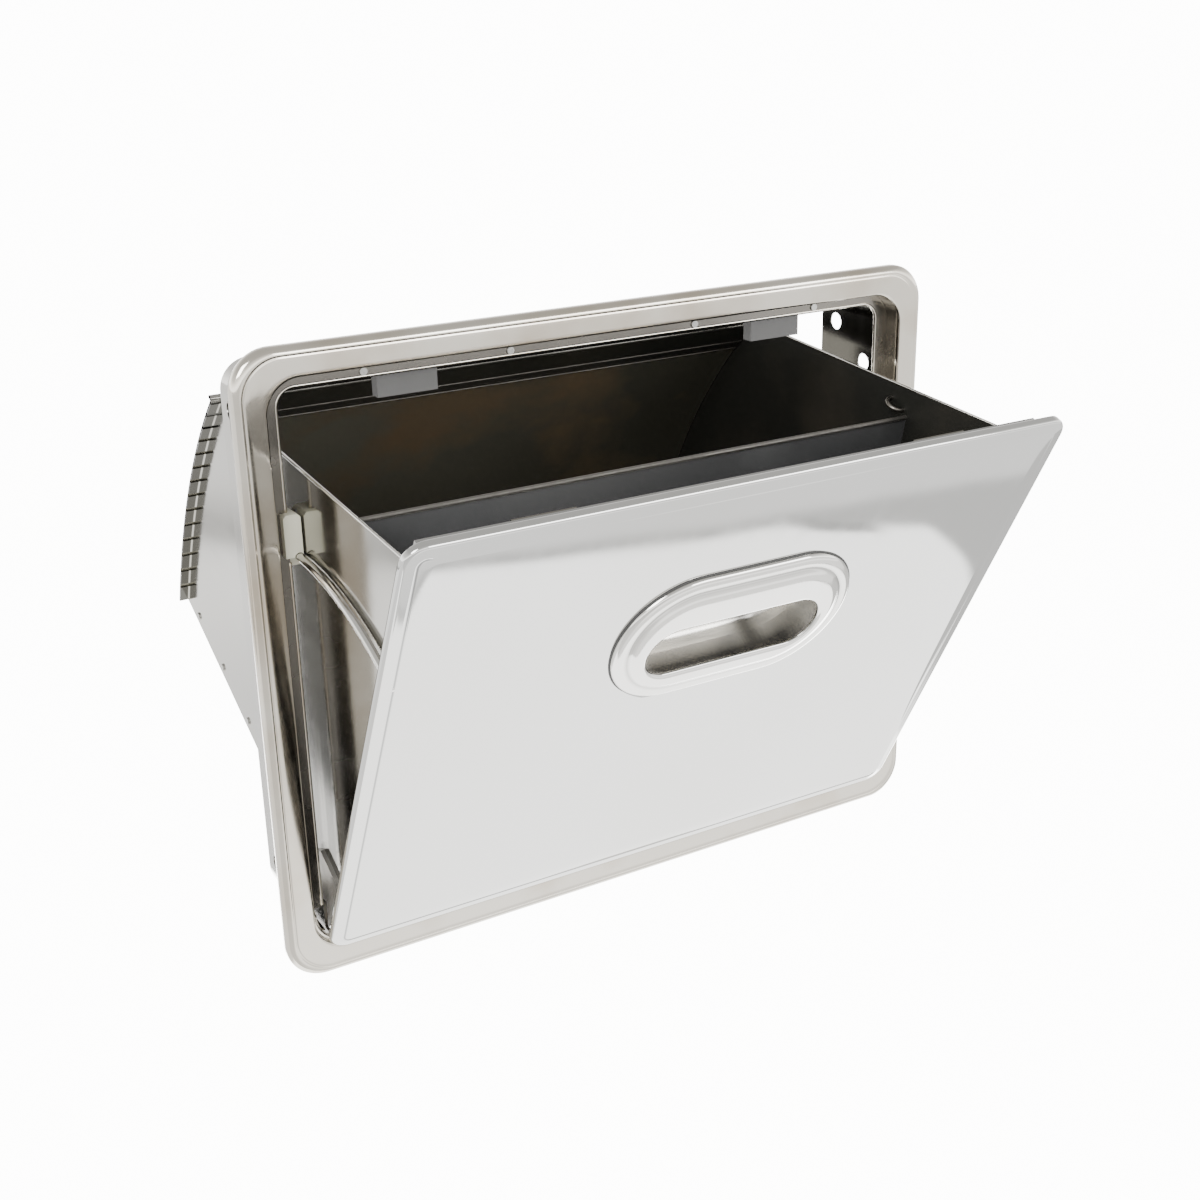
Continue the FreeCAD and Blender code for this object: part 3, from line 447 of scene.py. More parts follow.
for side, word in ((-1, "left"), (1, "right")):
    low_run = np.stack([np.full(len(bead_fall), side * lip_half_w),
                        np.full(len(bead_fall), bead_y), bead_fall], -1)
    beads.append(capped_tube("lip_bead_" + word, low_run, bead_r, bead_sides, (0, 1, 0)))
for bead in beads:
    bead.data.materials.append(frame_steel)
    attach(bead, "frame_body")


# Side collars: thin stainless strips bent round behind the stiles and fixed to the frame's wall, with
# round holes for the fixings. The outside keeps its mill polish; the inside is dull, painted dark as shade.

def two_sided(name, outer, inner, core_x, core_z, limit):
    """Joins two finishes on one thin sheet: outer where a point lies further than limit from a box of
    half width core_x and half height core_z round the origin, inner nearer to it. Depth isn't counted.
    Both finishes' nodes are copied into one tree."""
    finish = outer.copy()
    finish.name = name
    tree = finish.node_tree
    first = tree.nodes["Principled BSDF"]
    copies = {}
    for node in inner.node_tree.nodes:
        if node.bl_idname == "ShaderNodeOutputMaterial":
            continue
        twin = tree.nodes.new(node.bl_idname)
        copies[node.name] = twin
        for key in ("data_type", "operation", "interpolation_type"):
            if hasattr(node, key):
                setattr(twin, key, getattr(node, key))
        for socket, other in zip(twin.inputs, node.inputs):
            if hasattr(other, "default_value") and not other.is_linked:
                socket.default_value = other.default_value
    for link in inner.node_tree.links:
        if link.to_node.name in copies:
            source = list(link.from_node.outputs).index(link.from_socket)
            target = list(link.to_node.inputs).index(link.to_socket)
            start = copies[link.from_node.name].outputs[source]
            tree.links.new(start, copies[link.to_node.name].inputs[target])
    flow = add_node(tree, "ShaderNodeTexCoord", {}).outputs["Object"]
    for operation, value in (("ABSOLUTE", None), ("SUBTRACT", (core_x, 0, core_z)),
                             ("MULTIPLY", (1, 0, 1)), ("MAXIMUM", (0, 0, 0)), ("LENGTH", None)):
        sockets = {0: flow, 1: value} if value else {0: flow}
        part = add_node(tree, "ShaderNodeVectorMath", sockets, operation=operation)
        flow = part.outputs["Value" if operation == "LENGTH" else "Vector"]
    over = add_node(tree, "ShaderNodeMath", {0: flow, 1: limit}, operation="GREATER_THAN")
    both = add_node(tree, "ShaderNodeMixShader", {
        0: over.outputs["Value"], 1: copies["Principled BSDF"].outputs[0], 2: first.outputs[0]})
    feed(tree, tree.nodes["Material Output"], {"Surface": both.outputs[0]})
    return finish


collar_half = 0.234
collar_top = 0.187
collar_corner = 0.020
collar_sheet = 0.0012
# Painted shade: the inner face is tinted near black, as the shade in the gap beside the bin.
collar_in_shaded = steel_finish("collar_inside_painted_shade", (0.034, 0.033, 0.030), 0.22, 0.0002, 0.000001, (40, 40, 12))
collar_out = steel_finish("collar_outside", (0.42, 0.415, 0.40), 0.14, 0.0003, 0.000001, (40, 40, 12))
collar_both = two_sided("collar_sheet", collar_out, collar_in_shaded, collar_half - collar_corner,
                        collar_top - collar_corner, collar_corner - collar_sheet / 2)
for word in ("left", "right"):
    paint_node("side_collar_" + word, collar_both)


# Pivot hardware: bent brackets riveted to the collars, turned pins held by clips, and flat gusset arms
# on the bin, whose eyes hang on the pins. Plain stainless, satin on the pins, clips and rivets.
hardware_steel = steel_finish("satin_hardware", (0.48, 0.48, 0.47), 0.30, 0.0001, 0.00001, (400, 400, 400))
arm_steel = steel_finish("satin_arm", (0.52, 0.51, 0.49), 0.50, 0.0001, 0.000001, (60, 60, 60))
for word in ("left", "right"):
    paint_node("pivot_bracket_" + word, dark_shade_steel)
    paint_node("pivot_pin_" + word, hardware_steel)
    paint_node("pivot_arm_" + word, arm_steel)
for name in ("retaining_clips", "bracket_rivets"):
    paint_node(name, hardware_steel)


# Guide blocks: moulded cream-white nylon, each held to its collar by sunk screws, with a curved bore
# that the rod slides in. The flanged bushes in the eyes of the arms are of the same nylon.

def moulded_finish(name, tint, dull, speckle):
    """Matte moulded plastic: tint darkened a little by a slow noise, and a fine pebbled surface."""
    finish, tree, shader, where = new_finish(name)
    slow = add_node(tree, "ShaderNodeTexNoise", {"Vector": where, "Scale": 60.0, "Detail": 4.0})
    tone = add_node(tree, "ShaderNodeMix", {
        "Factor": slow.outputs["Fac"], "A": (*[c * 0.86 for c in tint], 1), "B": (*tint, 1)},
        data_type="RGBA")
    fine = add_node(tree, "ShaderNodeTexNoise", {"Vector": where, "Scale": 1400.0})
    pebble = add_node(tree, "ShaderNodeBump", {
        "Strength": 0.6, "Distance": speckle, "Height": fine.outputs["Fac"]})
    feed(tree, shader, {
        "Base Color": tone.outputs["Result"], "Roughness": dull, "Normal": pebble.outputs["Normal"]})
    return finish


white_nylon = moulded_finish("cream_nylon", (0.62, 0.61, 0.50), 0.42, 0.00008)
for word in ("left", "right"):
    paint_node("guide_block_" + word, white_nylon)
    paint_node("pivot_bush_" + word, white_nylon)
paint_node("guide_block_screws", hardware_steel)


# Catches: moulded grey blocks with a magnet, screwed under small brackets that are riveted to the stop
# lip. Steel strike plates on the door's inner panel meet their front faces when the drawer is shut.
catch_grey = moulded_finish("catch_grey_block", (0.105, 0.105, 0.104), 0.55, 0.00012)
for word in ("left", "right"):
    paint_node("catch_magnet_" + word, catch_grey)
    paint_node("strike_plate_" + word, dark_shade_steel)
    paint_node("catch_bracket_" + word, hardware_steel)
for name in ("catch_rivets", "catch_screws"):
    paint_node(name, hardware_steel)


# Door panel: one polished sheet with a flat field, a border pressed back by a shallow bevel and an
# edge turned back all round; an oval hole behind the pull.
pivot_y = 0.015
pivot_z = -0.1935
open_angle = math.radians(27.4)


def opened(points):
    """Turns points given with the door shut about the pivot line into the open pose, and moves them
    from the frame's front plane to its seat."""
    y = points[..., 1] - pivot_y
    z = points[..., 2] - pivot_z
    c = math.cos(open_angle)
    s = math.sin(open_angle)
    return np.stack([points[..., 0], pivot_y + y * c - z * s - seat_back, pivot_z + y * s + z * c], -1)


door_half_w = 0.2285
door_low = -0.1795
door_high = 0.1865
door_mid_z = 0.0035
door_half_h = 0.183
door_face_y = -0.0015
door_bow = 0.0005
door_band = 0.0085
door_band_drop = 0.0012
door_band_gap = 0.0012
door_corner = 0.014
door_edge_r = 0.0026
door_sheet = 0.0012
pull_x = 0.009
pull_z = 0.064
pull_half_len = 0.0355
pull_hole_r = 0.045
turned_depths = (0.0030, 0.0038, 0.0045)
field_rings = 22
border_rings = ((0.0096, 0.0), (0.0091, 0.0002), (0.0086, 0.00045), (0.0081, 0.0002), (0.0076, 0.0),
                (0.0066, 0.0), (0.0054, 0.0), (0.0040, 0.0), (door_edge_r, 0.0))


def ray_to_stadium(angle, half_len, radius):
    """Distance from a stadium's middle to its edge along each angle: radius/|sin| where the ray
    meets a straight, else the end circle's root half_len*|cos| + sqrt(radius^2 - (half_len*sin)^2)."""
    c = np.abs(np.cos(angle))
    s = np.maximum(np.abs(np.sin(angle)), 1e-9)
    flat = radius / s
    ends = half_len * c + np.sqrt(np.maximum(radius ** 2 - (half_len * s) ** 2, 0))
    return np.where(flat * c <= half_len, flat, ends)


def ray_to_panel(angle, inset, radius):
    """Distance from the pull's middle to the door's outline, moved in by inset, along each angle:
    the nearer of the side and the end, or the corner circle where the ray passes it."""
    c = np.cos(angle)
    s = np.sin(angle)
    reach_x = np.where(c > 0, door_half_w - inset - pull_x, door_half_w - inset + pull_x)
    reach_z = np.where(s > 0, door_high - inset - pull_z, pull_z - door_low - inset)
    t = np.minimum(reach_x / np.maximum(np.abs(c), 1e-9), reach_z / np.maximum(np.abs(s), 1e-9))
    cx = reach_x - radius
    cz = reach_z - radius
    dot = np.abs(c) * cx + np.abs(s) * cz
    root = dot + np.sqrt(np.maximum(dot ** 2 - cx ** 2 - cz ** 2 + radius ** 2, 0))
    in_corner = (np.abs(c) * t > cx) & (np.abs(s) * t > cz)
    return np.where(in_corner, root, t)


corner_angles = np.array([math.atan2(door_high - pull_z, door_half_w - pull_x),
                          math.atan2(door_high - pull_z, -door_half_w - pull_x),
                          math.atan2(door_low - pull_z, -door_half_w - pull_x),
                          math.atan2(door_low - pull_z, door_half_w - pull_x)])
door_angles = np.unique(np.round(np.concatenate([
    np.linspace(-math.pi, math.pi, 361)[:-1],
    (corner_angles[:, None] + np.linspace(-0.06, 0.06, 25)[None, :]).ravel()]), 6))


def door_mask():
    """One along the left and lower edges, where the border's crease is sharp, and zero elsewhere."""
    return ((door_angles > corner_angles[1]) | (door_angles < corner_angles[3])).astype(float)


def door_surface():
    """Rings from the pull's hole out to the edge. Inside the border the rings run straight from the
    hole to the crease; over the border they follow the outline and fall back by the bevel; at the
    edge they turn back through a quarter circle. The field bows out by half a millimetre."""
    direction = np.stack([np.cos(door_angles), np.sin(door_angles)], -1)
    rings = []

    def add_ring(reach, y):
        """One ring: the end of each ray at its reach from the pull's middle, at depth y."""
        flat = reach[:, None] * direction
        rings.append(np.stack([pull_x + flat[:, 0], y + 0 * reach, pull_z + flat[:, 1]], -1))

    hole = ray_to_stadium(door_angles, pull_half_len, pull_hole_r)
    crease = ray_to_panel(door_angles, door_band + door_band_gap, door_corner - door_band - door_band_gap)
    for share in np.linspace(0, 1, field_rings):
        reach = hole * (1 - share) + crease * share
        x = (pull_x + reach * direction[:, 0]) / door_half_w
        z = (pull_z + reach * direction[:, 1] - door_mid_z) / door_half_h
        add_ring(reach, door_face_y - door_bow * np.clip(1 - x ** 2, 0, 1) * np.clip(1 - z ** 2, 0, 1))
    for inset, groove in border_rings:
        soft = np.clip((door_band - inset) / door_band, 0, 1)
        reach = ray_to_panel(door_angles, inset, door_corner - inset)
        add_ring(reach, door_face_y + door_band_drop * soft + groove * door_mask())
    start = door_face_y + door_band_drop * (door_band - door_edge_r) / door_band
    for a in np.linspace(0, math.pi / 2, 10)[1:]:
        inset = door_edge_r * (1 - math.sin(a))
        reach = ray_to_panel(door_angles, inset, door_corner - inset)
        add_ring(reach, start + door_edge_r * (1 - math.cos(a)))
    for depth in turned_depths:
        add_ring(ray_to_panel(door_angles, 0.0, door_corner), depth)
    return opened(np.stack(rings, 1))


door_points = door_surface()
# Painted shade: a dark line along the border's crease on the left and lower edges.
door_crease_shade = np.zeros(door_points.shape[:2])
door_crease_shade[:, field_rings + 1:field_rings + 4] = np.array((0.5, 0.85, 0.5)) * door_mask()[:, None]
door_panel = piece_from_grid("door_panel", door_points, close_u=True, flip=True, crease=door_crease_shade)
give_thickness(door_panel, door_sheet)
door_steel = steel_finish("polished_door", (0.53, 0.533, 0.530), 0.04, 0.0009, 0.000002, (80, 80, 80),
                          "crease")
door_panel.data.materials.append(door_steel)
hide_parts("door_skin")
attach(door_panel, "drawer_body")


# Door liner: the door's inner panel, one stainless sheet between the bin's sides, with its top and
# bottom edges turned forward to the door and a hole cut for the cup. Mill finish with a rolled grain.
liner_steel = steel_finish("liner_sheet", (0.36, 0.36, 0.36), 0.26, 0.0006, 0.00001, (25, 300, 300))
paint_node("door_liner", liner_steel)


# Pull: a pressed oval shell with a round rim and a hood that swells above the finger slot; the
# slot's edge is rolled in. Held by studs and nuts from behind.

def stadium_ring(half_len, radius, lift, count_arc=40, count_run=28):
    """Points of a stadium lifted by lift from the pull's middle, even in the turning of its edge:
    right half circle, top run, left half circle, bottom run."""
    a = np.linspace(-math.pi / 2, math.pi / 2, count_arc)
    right = np.stack([half_len + radius * np.cos(a), radius * np.sin(a)], -1)
    left = np.stack([-half_len - radius * np.cos(a), -radius * np.sin(a)], -1)
    run = np.linspace(1, -1, count_run + 2)[1:-1]
    top = np.stack([half_len * run, np.full(count_run, radius)], -1)
    low = np.stack([-half_len * run, np.full(count_run, -radius)], -1)
    ring = np.concatenate([right, top, left, low])
    return ring + (0, lift)


def pull_surface(sections):
    """Rings given as half length, radius, lift and depth in millimetres, stacked in order."""
    rings = []
    for half_len, radius, lift, depth in np.array(sections) * mm:
        ring = stadium_ring(half_len, radius, lift)
        rings.append(np.stack([pull_x + ring[:, 0], np.full(len(ring), depth), pull_z + ring[:, 1]], -1))
    return opened(np.stack(rings, 1))


mm = 0.001
pull_sheet = 0.0012
shell_sections = [
    (35.5, 49.8, 0.0, -1.3), (35.5, 50.4, 0.0, -1.8), (35.5, 50.9, 0.0, -2.3), (35.5, 51.0, 0.0, -2.9),
    (35.5, 50.75, 0.0, -3.8), (35.5, 50.1, 0.0, -4.7), (35.5, 49.1, 0.0, -5.4), (35.5, 47.7, 0.0, -5.85),
    (35.5, 46.2, 0.0, -6.0), (35.5, 44.0, 0.0, -6.0), (35.5, 42.6, 0.0, -5.95), (35.5, 41.6, 0.0, -6.05),
    (35.5, 40.7, 0.0, -6.4), (35.5, 39.7, 0.0, -7.0), (35.5, 38.5, 0.0, -7.65), (35.5, 37.0, 0.0, -8.15),
    (35.6, 35.2, -0.2, -8.42), (36.2, 33.0, -0.8, -8.5), (38.5, 29.5, -2.6, -8.5), (41.0, 25.5, -4.6, -8.5),
    (42.8, 22.4, -5.8, -8.4), (43.6, 20.6, -6.3, -7.9), (44.0, 19.6, -6.5, -7.1), (44.0, 19.5, -6.5, -6.3),
    (43.8, 20.0, -6.4, -5.6)]
pull_points = pull_surface(shell_sections)
# Painted shade: a faint dark line in the valley behind the rim, and the rolled slot edge darker.
pull_crease_shade = np.zeros(pull_points.shape[:2])
pull_crease_shade[:, 10:13] = (0.25, 0.5, 0.25)
pull_crease_shade[:, 22:] = 0.8
pull_shell = piece_from_grid("pull_shell", pull_points, close_u=True, crease=pull_crease_shade)
give_thickness(pull_shell, pull_sheet)
pull_steel = steel_finish("polished_pull", (0.68, 0.675, 0.66), 0.09, 0.0001, 0.000001, (120, 120, 120),
                          "crease")
pull_shell.data.materials.append(pull_steel)
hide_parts("handle_bezel")
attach(pull_shell, "drawer_body")
for name in ("handle_studs", "handle_nuts"):
    paint_node(name, hardware_steel)


# Finger cup: a pan deep-drawn from one sheet, with a round bottom edge, set behind the slot and through
# the inner panel. Its lower wall is painted darker as shade, and a patch of its floor as a painted
# reflection of the slot's dark edge.
cup_sheet = 0.0010
cup_metal = 0.50
cup_edge_r = 12.0
cup_floor_r = 25.8
cup_edge_start = 18.6
cup_turn = np.linspace(0, math.pi / 2, 8)
cup_sections = [(43.8, 20.0, -6.4, -5.6), (41.0, 28.0, -3.5, -4.6), (37.0, 35.5, -1.0, -3.2),
                (35.7, 37.6, 0.0, -1.0), (35.5, 37.8, 0.0, 6.0), (35.5, 37.8, 0.0, 18.0)]
cup_sections += [(35.5, cup_floor_r + cup_edge_r * math.cos(t), 0.0,
                  cup_edge_start + cup_edge_r * math.sin(t)) for t in cup_turn]
cup_sections += [(35.5, 14.0, 0.0, 30.65), (35.5, 0.0, 0.0, 30.7)]
cup_points = pull_surface(cup_sections)
cup_ring = stadium_ring(0.0, 1.0, 0.0)
# Painted shade on the lower wall; the floor's dark patch is a painted reflection of the slot's edge.
cup_painted_shade = np.zeros(cup_points.shape[:2])
cup_painted_shade[:, 3:6] = np.clip(-1.15 * cup_ring[:, 1:], 0, 1) * (1.0, 1.0, 0.45)
patch_x = 0.037
patch_spread = 0.012
cup_dark_reflection = 0.9 * np.exp(-((cup_points[:, 5:, 0] - pull_x - patch_x) / patch_spread) ** 2)
cup_painted_shade[:, 5:] = np.maximum(cup_painted_shade[:, 5:], cup_dark_reflection)
finger_cup = piece_from_grid("finger_cup", cup_points, close_u=True, crease=cup_painted_shade)
give_thickness(finger_cup, cup_sheet)
cup_steel = steel_finish("drawn_cup", (0.90, 0.88, 0.83), 0.17, 0.00002, 0.0000001, (20, 20, 20),
                         "crease", crease_dim=0.08)
cup_steel.node_tree.nodes["Principled BSDF"].inputs["Metallic"].default_value = cup_metal
finger_cup.data.materials.append(cup_steel)
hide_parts("handle_cup")
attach(finger_cup, "drawer_body")


# Shadow line: a thin black cord pressed between the pull's foot and the door, a painted shadow that
# draws the fine dark line round the pull.

def closed_cord(ring, depth, radius, sides):
    """A round cord along a closed ring in the door's plane: at each point a circle in the plane of
    the ring's outward normal and the door's normal."""
    step = np.roll(ring, -1, 0) - np.roll(ring, 1, 0)
    step = step / np.linalg.norm(step, axis=1)[:, None]
    out = np.stack([step[:, 1], -step[:, 0]], -1)
    a = np.linspace(0, 2 * math.pi, sides, endpoint=False)
    x = pull_x + ring[:, :1] + radius * np.cos(a)[None] * out[:, :1]
    z = pull_z + ring[:, 1:] + radius * np.cos(a)[None] * out[:, 1:]
    y = np.repeat((depth - radius * np.sin(a))[None], len(ring), 0)
    return opened(np.stack([x, y, z], -1))


shadow_cord_r = 0.0009
shadow_cord_sides = 12
shadow_cord_round = 51.2 * mm
shadow_cord_lift = 0.0002
shadow_cord_ring = stadium_ring(pull_half_len, shadow_cord_round, 0.0)
shadow_cord_points = closed_cord(shadow_cord_ring, door_face_y - shadow_cord_lift, shadow_cord_r, shadow_cord_sides)
shadow_cord = piece_from_grid("pull_shadow_cord", shadow_cord_points, close_u=True, close_v=True)
shadow_black_cord = moulded_finish("shadow_black_cord", (0.03, 0.03, 0.03), 0.6, 0.00004)
shadow_cord.data.materials.append(shadow_black_cord)
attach(shadow_cord, "drawer_body")


# Bin sides: flat sheet, bright outside and painted dark inside as shade, riveted to the floor's
# turned-up edges, with a row of tabs turned out along the curved rear edge under the back sheet. Each
# carries a half ring of wire as a hook for the bag. Outside, painted shade darkens the tabs and upright
# bands low at the front.

def shaded_stained_inside(name, tint, stain, dull):
    """Inner face, unpolished, its dark tint a painted shade: tint, paler on the left, crossed by a brown
    heat stain in patches, with roughness that follows the patches and a fine rolled grain."""
    finish, tree, shader, where = new_finish(name)
    patch = add_node(tree, "ShaderNodeTexNoise", {"Vector": where, "Scale": 9.0, "Detail": 5.0})
    edge = add_node(tree, "ShaderNodeMapRange", {
        "Value": patch.outputs["Fac"], "From Min": 0.48, "From Max": 0.68})
    split = add_node(tree, "ShaderNodeSeparateXYZ", {0: where})
    aside = add_node(tree, "ShaderNodeMapRange", {
        "Value": split.outputs["X"], "From Min": -0.21, "From Max": 0.12},
        interpolation_type="SMOOTHSTEP")
    base = add_node(tree, "ShaderNodeMix", {
        "Factor": aside.outputs["Result"], "A": (*[c * 1.45 for c in tint], 1),
        "B": (*[c * 0.80 for c in tint], 1)}, data_type="RGBA")
    tone = add_node(tree, "ShaderNodeMix", {
        "Factor": edge.outputs["Result"], "A": base.outputs["Result"], "B": (*stain, 1)},
        data_type="RGBA")
    rough = add_node(tree, "ShaderNodeMapRange", {
        "Value": patch.outputs["Fac"], "To Min": dull * 0.8, "To Max": dull * 1.25})
    fine = add_node(tree, "ShaderNodeTexNoise", {"Vector": where, "Scale": 500.0})
    grain = add_node(tree, "ShaderNodeBump", {
        "Strength": 0.5, "Distance": 0.00004, "Height": fine.outputs["Fac"]})
    feed(tree, shader, {
        "Metallic": 0.45, "Base Color": tone.outputs["Result"], "Roughness": rough.outputs["Result"],
        "Normal": grain.outputs["Normal"]})
    return finish


def shade_banded(finish, dim):
    """The finish with painted shade that cuts its colour to dim of itself in two places: on the tabs,
    outside the side's face, and low at the front in upright soft bands, beside the collar."""
    tree = finish.node_tree
    shader = tree.nodes["Principled BSDF"]
    clean = shader.inputs["Base Color"].links[0].from_socket
    where = add_node(tree, "ShaderNodeTexCoord", {}).outputs["Object"]
    split = add_node(tree, "ShaderNodeSeparateXYZ", {0: where})
    turn = add_node(tree, "ShaderNodeMapping", {"Vector": where, "Scale": (1, 95, 3)})
    band = add_node(tree, "ShaderNodeTexNoise", {"Vector": turn.outputs["Vector"], "Scale": 1.0})
    wide = add_node(tree, "ShaderNodeMath", {0: split.outputs["X"]}, operation="ABSOLUTE")
    steps = []
    for source, start, stop, full in (
            (split.outputs["Z"], 0.01, -0.06, 1.0), (split.outputs["Y"], 0.09, 0.05, 1.0),
            (band.outputs["Fac"], 0.15, 0.55, 0.7), (wide.outputs["Value"], 0.2163, 0.2170, 1.0)):
        step = add_node(tree, "ShaderNodeMapRange", {
            "Value": source, "From Min": start, "From Max": stop, "To Max": full},
            interpolation_type="SMOOTHSTEP")
        steps.append(step.outputs["Result"])
    low, front, bands, tabs = steps
    mask = low
    for operation, other in (("MULTIPLY", front), ("MULTIPLY", bands), ("MAXIMUM", tabs)):
        mask = add_node(tree, "ShaderNodeMath", {0: mask, 1: other}, operation=operation).outputs["Value"]
    shade = add_node(tree, "ShaderNodeMix", {"Factor": mask, "A": clean, "B": (dim, dim, dim * 0.97, 1)},
                     data_type="RGBA", blend_type="MULTIPLY")
    feed(tree, shader, {"Base Color": shade.outputs["Result"]})
    return finish


bin_half = 0.216
bin_sheet = 0.0012
any_height = 9
side_out = steel_finish("bin_side_out", (0.44, 0.434, 0.414), 0.10, 0.0004, 0.000001, (40, 10, 40))
# Painted shade on the tabs and in upright bands low at the front of the outer face.
side_out = shade_banded(side_out, 0.15)
side_inside_shaded = shaded_stained_inside("bin_side_inside_painted_shade", (0.030, 0.030, 0.026), (0.042, 0.038, 0.030), 0.34)
side_steel = two_sided("bin_side_sheet", side_out, side_inside_shaded, 0, any_height, bin_half - bin_sheet / 2)
for word in ("left", "right"):
    paint_node("bin_side_" + word, side_steel)
    paint_node("bag_hook_" + word, dark_shade_steel)
paint_node("bin_rivets", hardware_steel)


# Guide rods: bright round bar bent about the pivot line, fixed to the back of the door; the rear end
# runs in the guide block and carries a cross pin as its stop.
guide_r = 0.2725
rod_r = 0.0025
rod_sides = 24
rod_x = 0.2196
rod_start = -0.0002
rod_end = math.radians(31.6)
rod_bend = np.linspace(0, rod_end, 49)
rod_straight = np.linspace(rod_start, pivot_y, 5)[:-1]
rod_y = np.concatenate([rod_straight, pivot_y + guide_r * np.sin(rod_bend)])
rod_z = np.concatenate([np.full(len(rod_straight), pivot_z + guide_r), pivot_z + guide_r * np.cos(rod_bend)])
bar_steel = steel_finish("bright_bar", (0.62, 0.615, 0.60), 0.12, 0.00005, 0.000004, (200, 200, 200))
for side, word in ((-1, "left"), (1, "right")):
    rod_path = np.stack([np.full(len(rod_y), side * rod_x), rod_y, rod_z], -1)
    rod = capped_tube("rod_" + word, opened(rod_path), rod_r, rod_sides, (1, 0, 0))
    rod.data.materials.append(bar_steel)
    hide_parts("guide_rod_" + word)
    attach(rod, "drawer_body")
paint_node("rod_stop_pins", hardware_steel)


# Bin back: one sheet rolled to a long curve and laid over the tabs, its top edge rolled to a bead;
# bright outside, painted dark inside as shade and heat stained, with a folded strip along the top that
# is painted near black as shadow.
rear_arc_r = 0.480
arc_top = np.array((0.2886, 0.0473))
arc_low = np.array((0.3237, -0.1765))
back_half = 0.2225
back_columns = 24
back_count = 84
back_fold = 14
back_strip = 0.0345
back_fold_step = 0.0008
back_fold_run = 0.0025
back_bead_r = 0.0025


def rear_arc():
    """Centre, start and end angle of the arc of radius rear_arc_r through the two ends of the back:
    the centre lies on the chord's normal, sqrt(r^2 - half^2) from its middle."""
    chord = arc_low - arc_top
    half = np.linalg.norm(chord) / 2
    inward = np.array((chord[1], -chord[0])) / (2 * half)
    centre = (arc_top + arc_low) / 2 + inward * math.sqrt(rear_arc_r ** 2 - half ** 2)
    first = math.atan2(*(arc_top - centre)[::-1])
    last = math.atan2(*(arc_low - centre)[::-1])
    return centre, first, last


def back_sheet(half_w, count_x):
    """Closed loop carried along X: down the inner face, round the lower edge, up the outer face and
    round the bead. The inner face steps in by 0.8 mm over the top strip, in even rows."""
    centre, first, last = rear_arc()
    strip = first - np.linspace(0, back_strip, back_fold + 1) / rear_arc_r
    a = np.concatenate([strip, np.linspace(strip[-1], last, back_count - back_fold)[1:]])
    depth = (first - a) * rear_arc_r
    fold = back_fold_step * np.clip((back_strip - depth) / back_fold_run, 0, 1)
    inner = np.stack([rear_arc_r - fold, a], -1)
    outer = np.stack([np.full(back_count, rear_arc_r + bin_sheet), a], -1)[::-1]
    turn = np.linspace(-0.6, math.pi + 0.1, 14)
    bead = np.stack([rear_arc_r + back_bead_r + back_bead_r * np.cos(turn),
                     first + back_bead_r * np.sin(turn) / rear_arc_r], -1)
    loop = np.concatenate([inner, outer, bead])
    y = centre[0] + loop[:, 0] * np.cos(loop[:, 1])
    z = centre[1] + loop[:, 0] * np.sin(loop[:, 1])
    x = np.linspace(-half_w, half_w, count_x)
    return np.stack([np.repeat(x[:, None], len(loop), 1), np.repeat(y[None], count_x, 0),
                     np.repeat(z[None], count_x, 0)], -1)


back_points = opened(back_sheet(back_half, back_columns))
bin_back = piece_from_grid("back_panel", back_points, close_v=True, flip=True)
bin_steel = steel_finish("bin_sheet", (0.34, 0.335, 0.32), 0.18, 0.0007, 0.000001, (40, 10, 40))
bin_inside_shaded = shaded_stained_inside("bin_inside_painted_shade", (0.120, 0.114, 0.090), (0.185, 0.138, 0.085), 0.34)
for finish in (bin_steel, bin_inside_shaded, side_inside_shaded):
    bin_back.data.materials.append(finish)
# The top strip's rows take the sides' near-black inside finish, as a painted shadow along the top.
back_rows = np.tile(np.arange(back_points.shape[1]), back_points.shape[0] - 1)
back_kinds = np.where(back_rows < back_fold, 2, np.where(back_rows < back_count - 1, 1, 0))
bin_back.data.polygons.foreach_set("material_index", back_kinds.astype(np.int32))
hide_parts("bin_back")
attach(bin_back, "drawer_body")


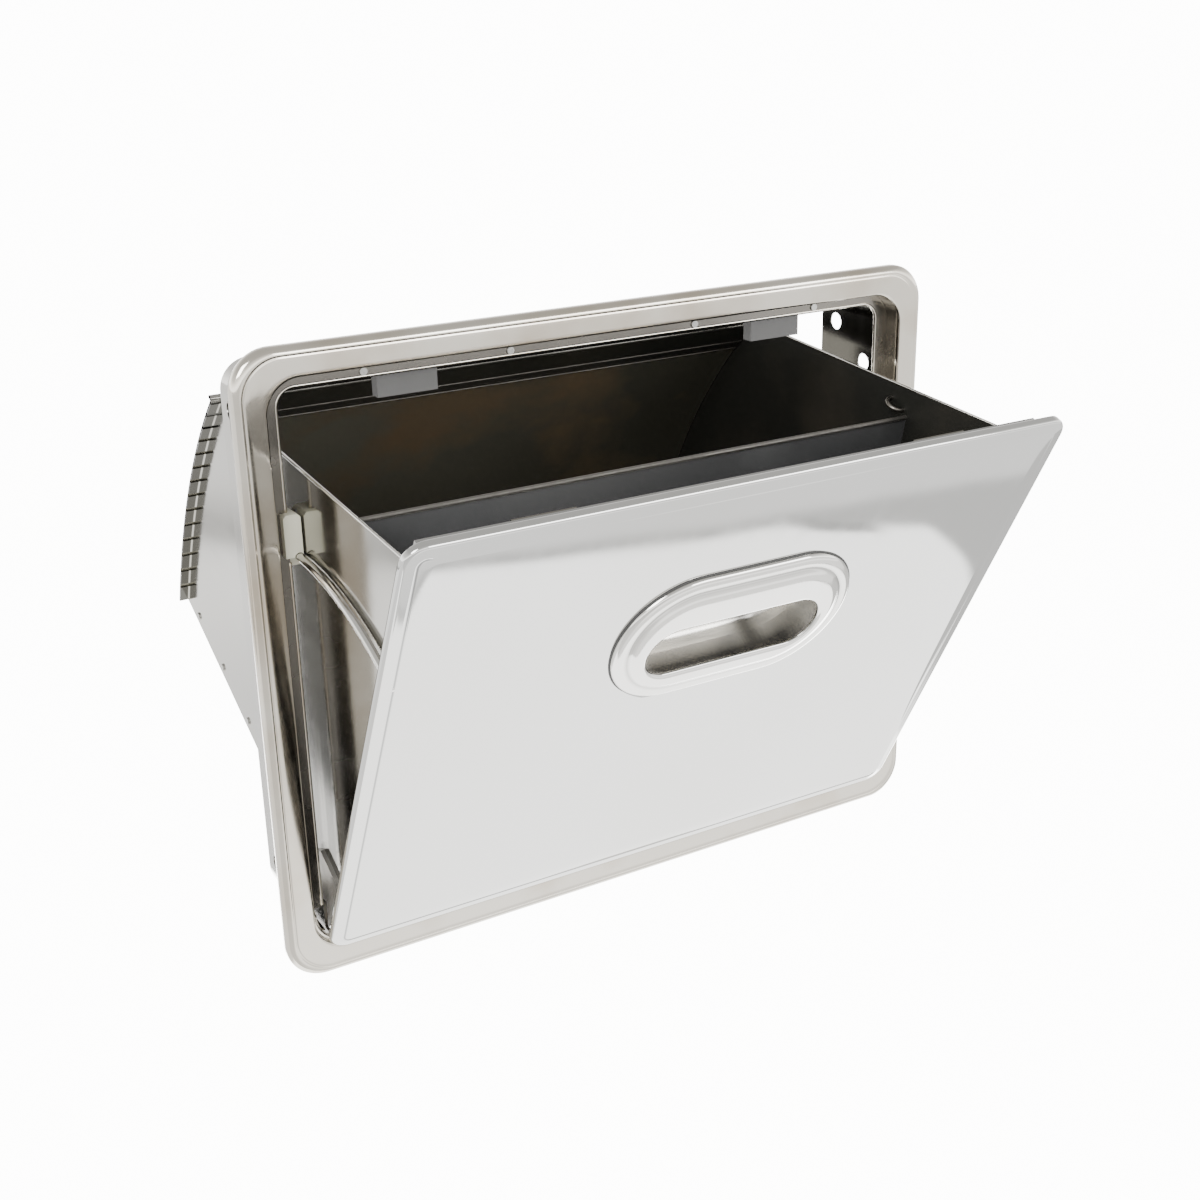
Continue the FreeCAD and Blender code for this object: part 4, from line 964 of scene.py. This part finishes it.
# Bin floor and the leaning inner wall behind the door: plain sheet painted dark as shade; the wall's top
# edge is a round hem that catches the light, and so are the rims of the two sides and the two fold lines
# of the back's top strip.
wall_shaded = shaded_stained_inside("inner_wall_painted_shade", (0.122, 0.124, 0.128), (0.140, 0.142, 0.146), 0.36)
paint_node("bin_floor", bin_inside_shaded)
paint_node("bin_front", wall_shaded)
hem_steel = steel_finish("folded_edge", (0.17, 0.165, 0.155), 0.55, 0.00002, 0.000001, (60, 60, 60))
hem_count = 20
hem_half = 0.2146
hem_y = 0.1110
hem_z = 0.0975
hem_r = 0.0017
hem_sides = 16
rim_front_z = 0.1656
rim_fall = (165.5 - 47.3) / 288.9
rim_y = np.linspace(0.012, 0.286, hem_count)
rim_z = rim_front_z - rim_y * rim_fall
rim_r = 0.0010
rim_sides = 10
fold_half = 0.2140
fold_gap = 0.010
fold_r = 0.0006
fold_sides = 10


def level_run(half, y, z):
    """An even straight run of points along X from -half to half, at one y and z."""
    return np.stack([np.linspace(-half, half, hem_count), np.full(hem_count, y), np.full(hem_count, z)], -1)


hem_run = opened(level_run(hem_half, hem_y, hem_z))
hems = [(capped_tube("inner_wall_hem", hem_run, hem_r, hem_sides, (0, 0, 1)), hem_steel)]
for side, word in ((-1, "left"), (1, "right")):
    rim = np.stack([np.full(hem_count, side * (bin_half - bin_sheet / 2)), rim_y, rim_z], -1)
    hems.append((capped_tube("bin_rim_" + word, opened(rim), rim_r, rim_sides, (1, 0, 0)), bar_steel))
fold_centre, fold_first, _ = rear_arc()
for depth, word in ((back_strip - fold_gap, "upper"), (back_strip, "lower")):
    fold_angle = fold_first - depth / rear_arc_r
    fold_y = fold_centre[0] + (rear_arc_r - back_fold_step) * math.cos(fold_angle)
    fold_z = fold_centre[1] + (rear_arc_r - back_fold_step) * math.sin(fold_angle)
    fold_run = opened(level_run(fold_half, fold_y, fold_z))
    hems.append((capped_tube("back_fold_" + word, fold_run, fold_r, fold_sides, (0, 0, 1)), hem_steel))
for hem, finish in hems:
    hem.data.materials.append(finish)
    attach(hem, "drawer_body")
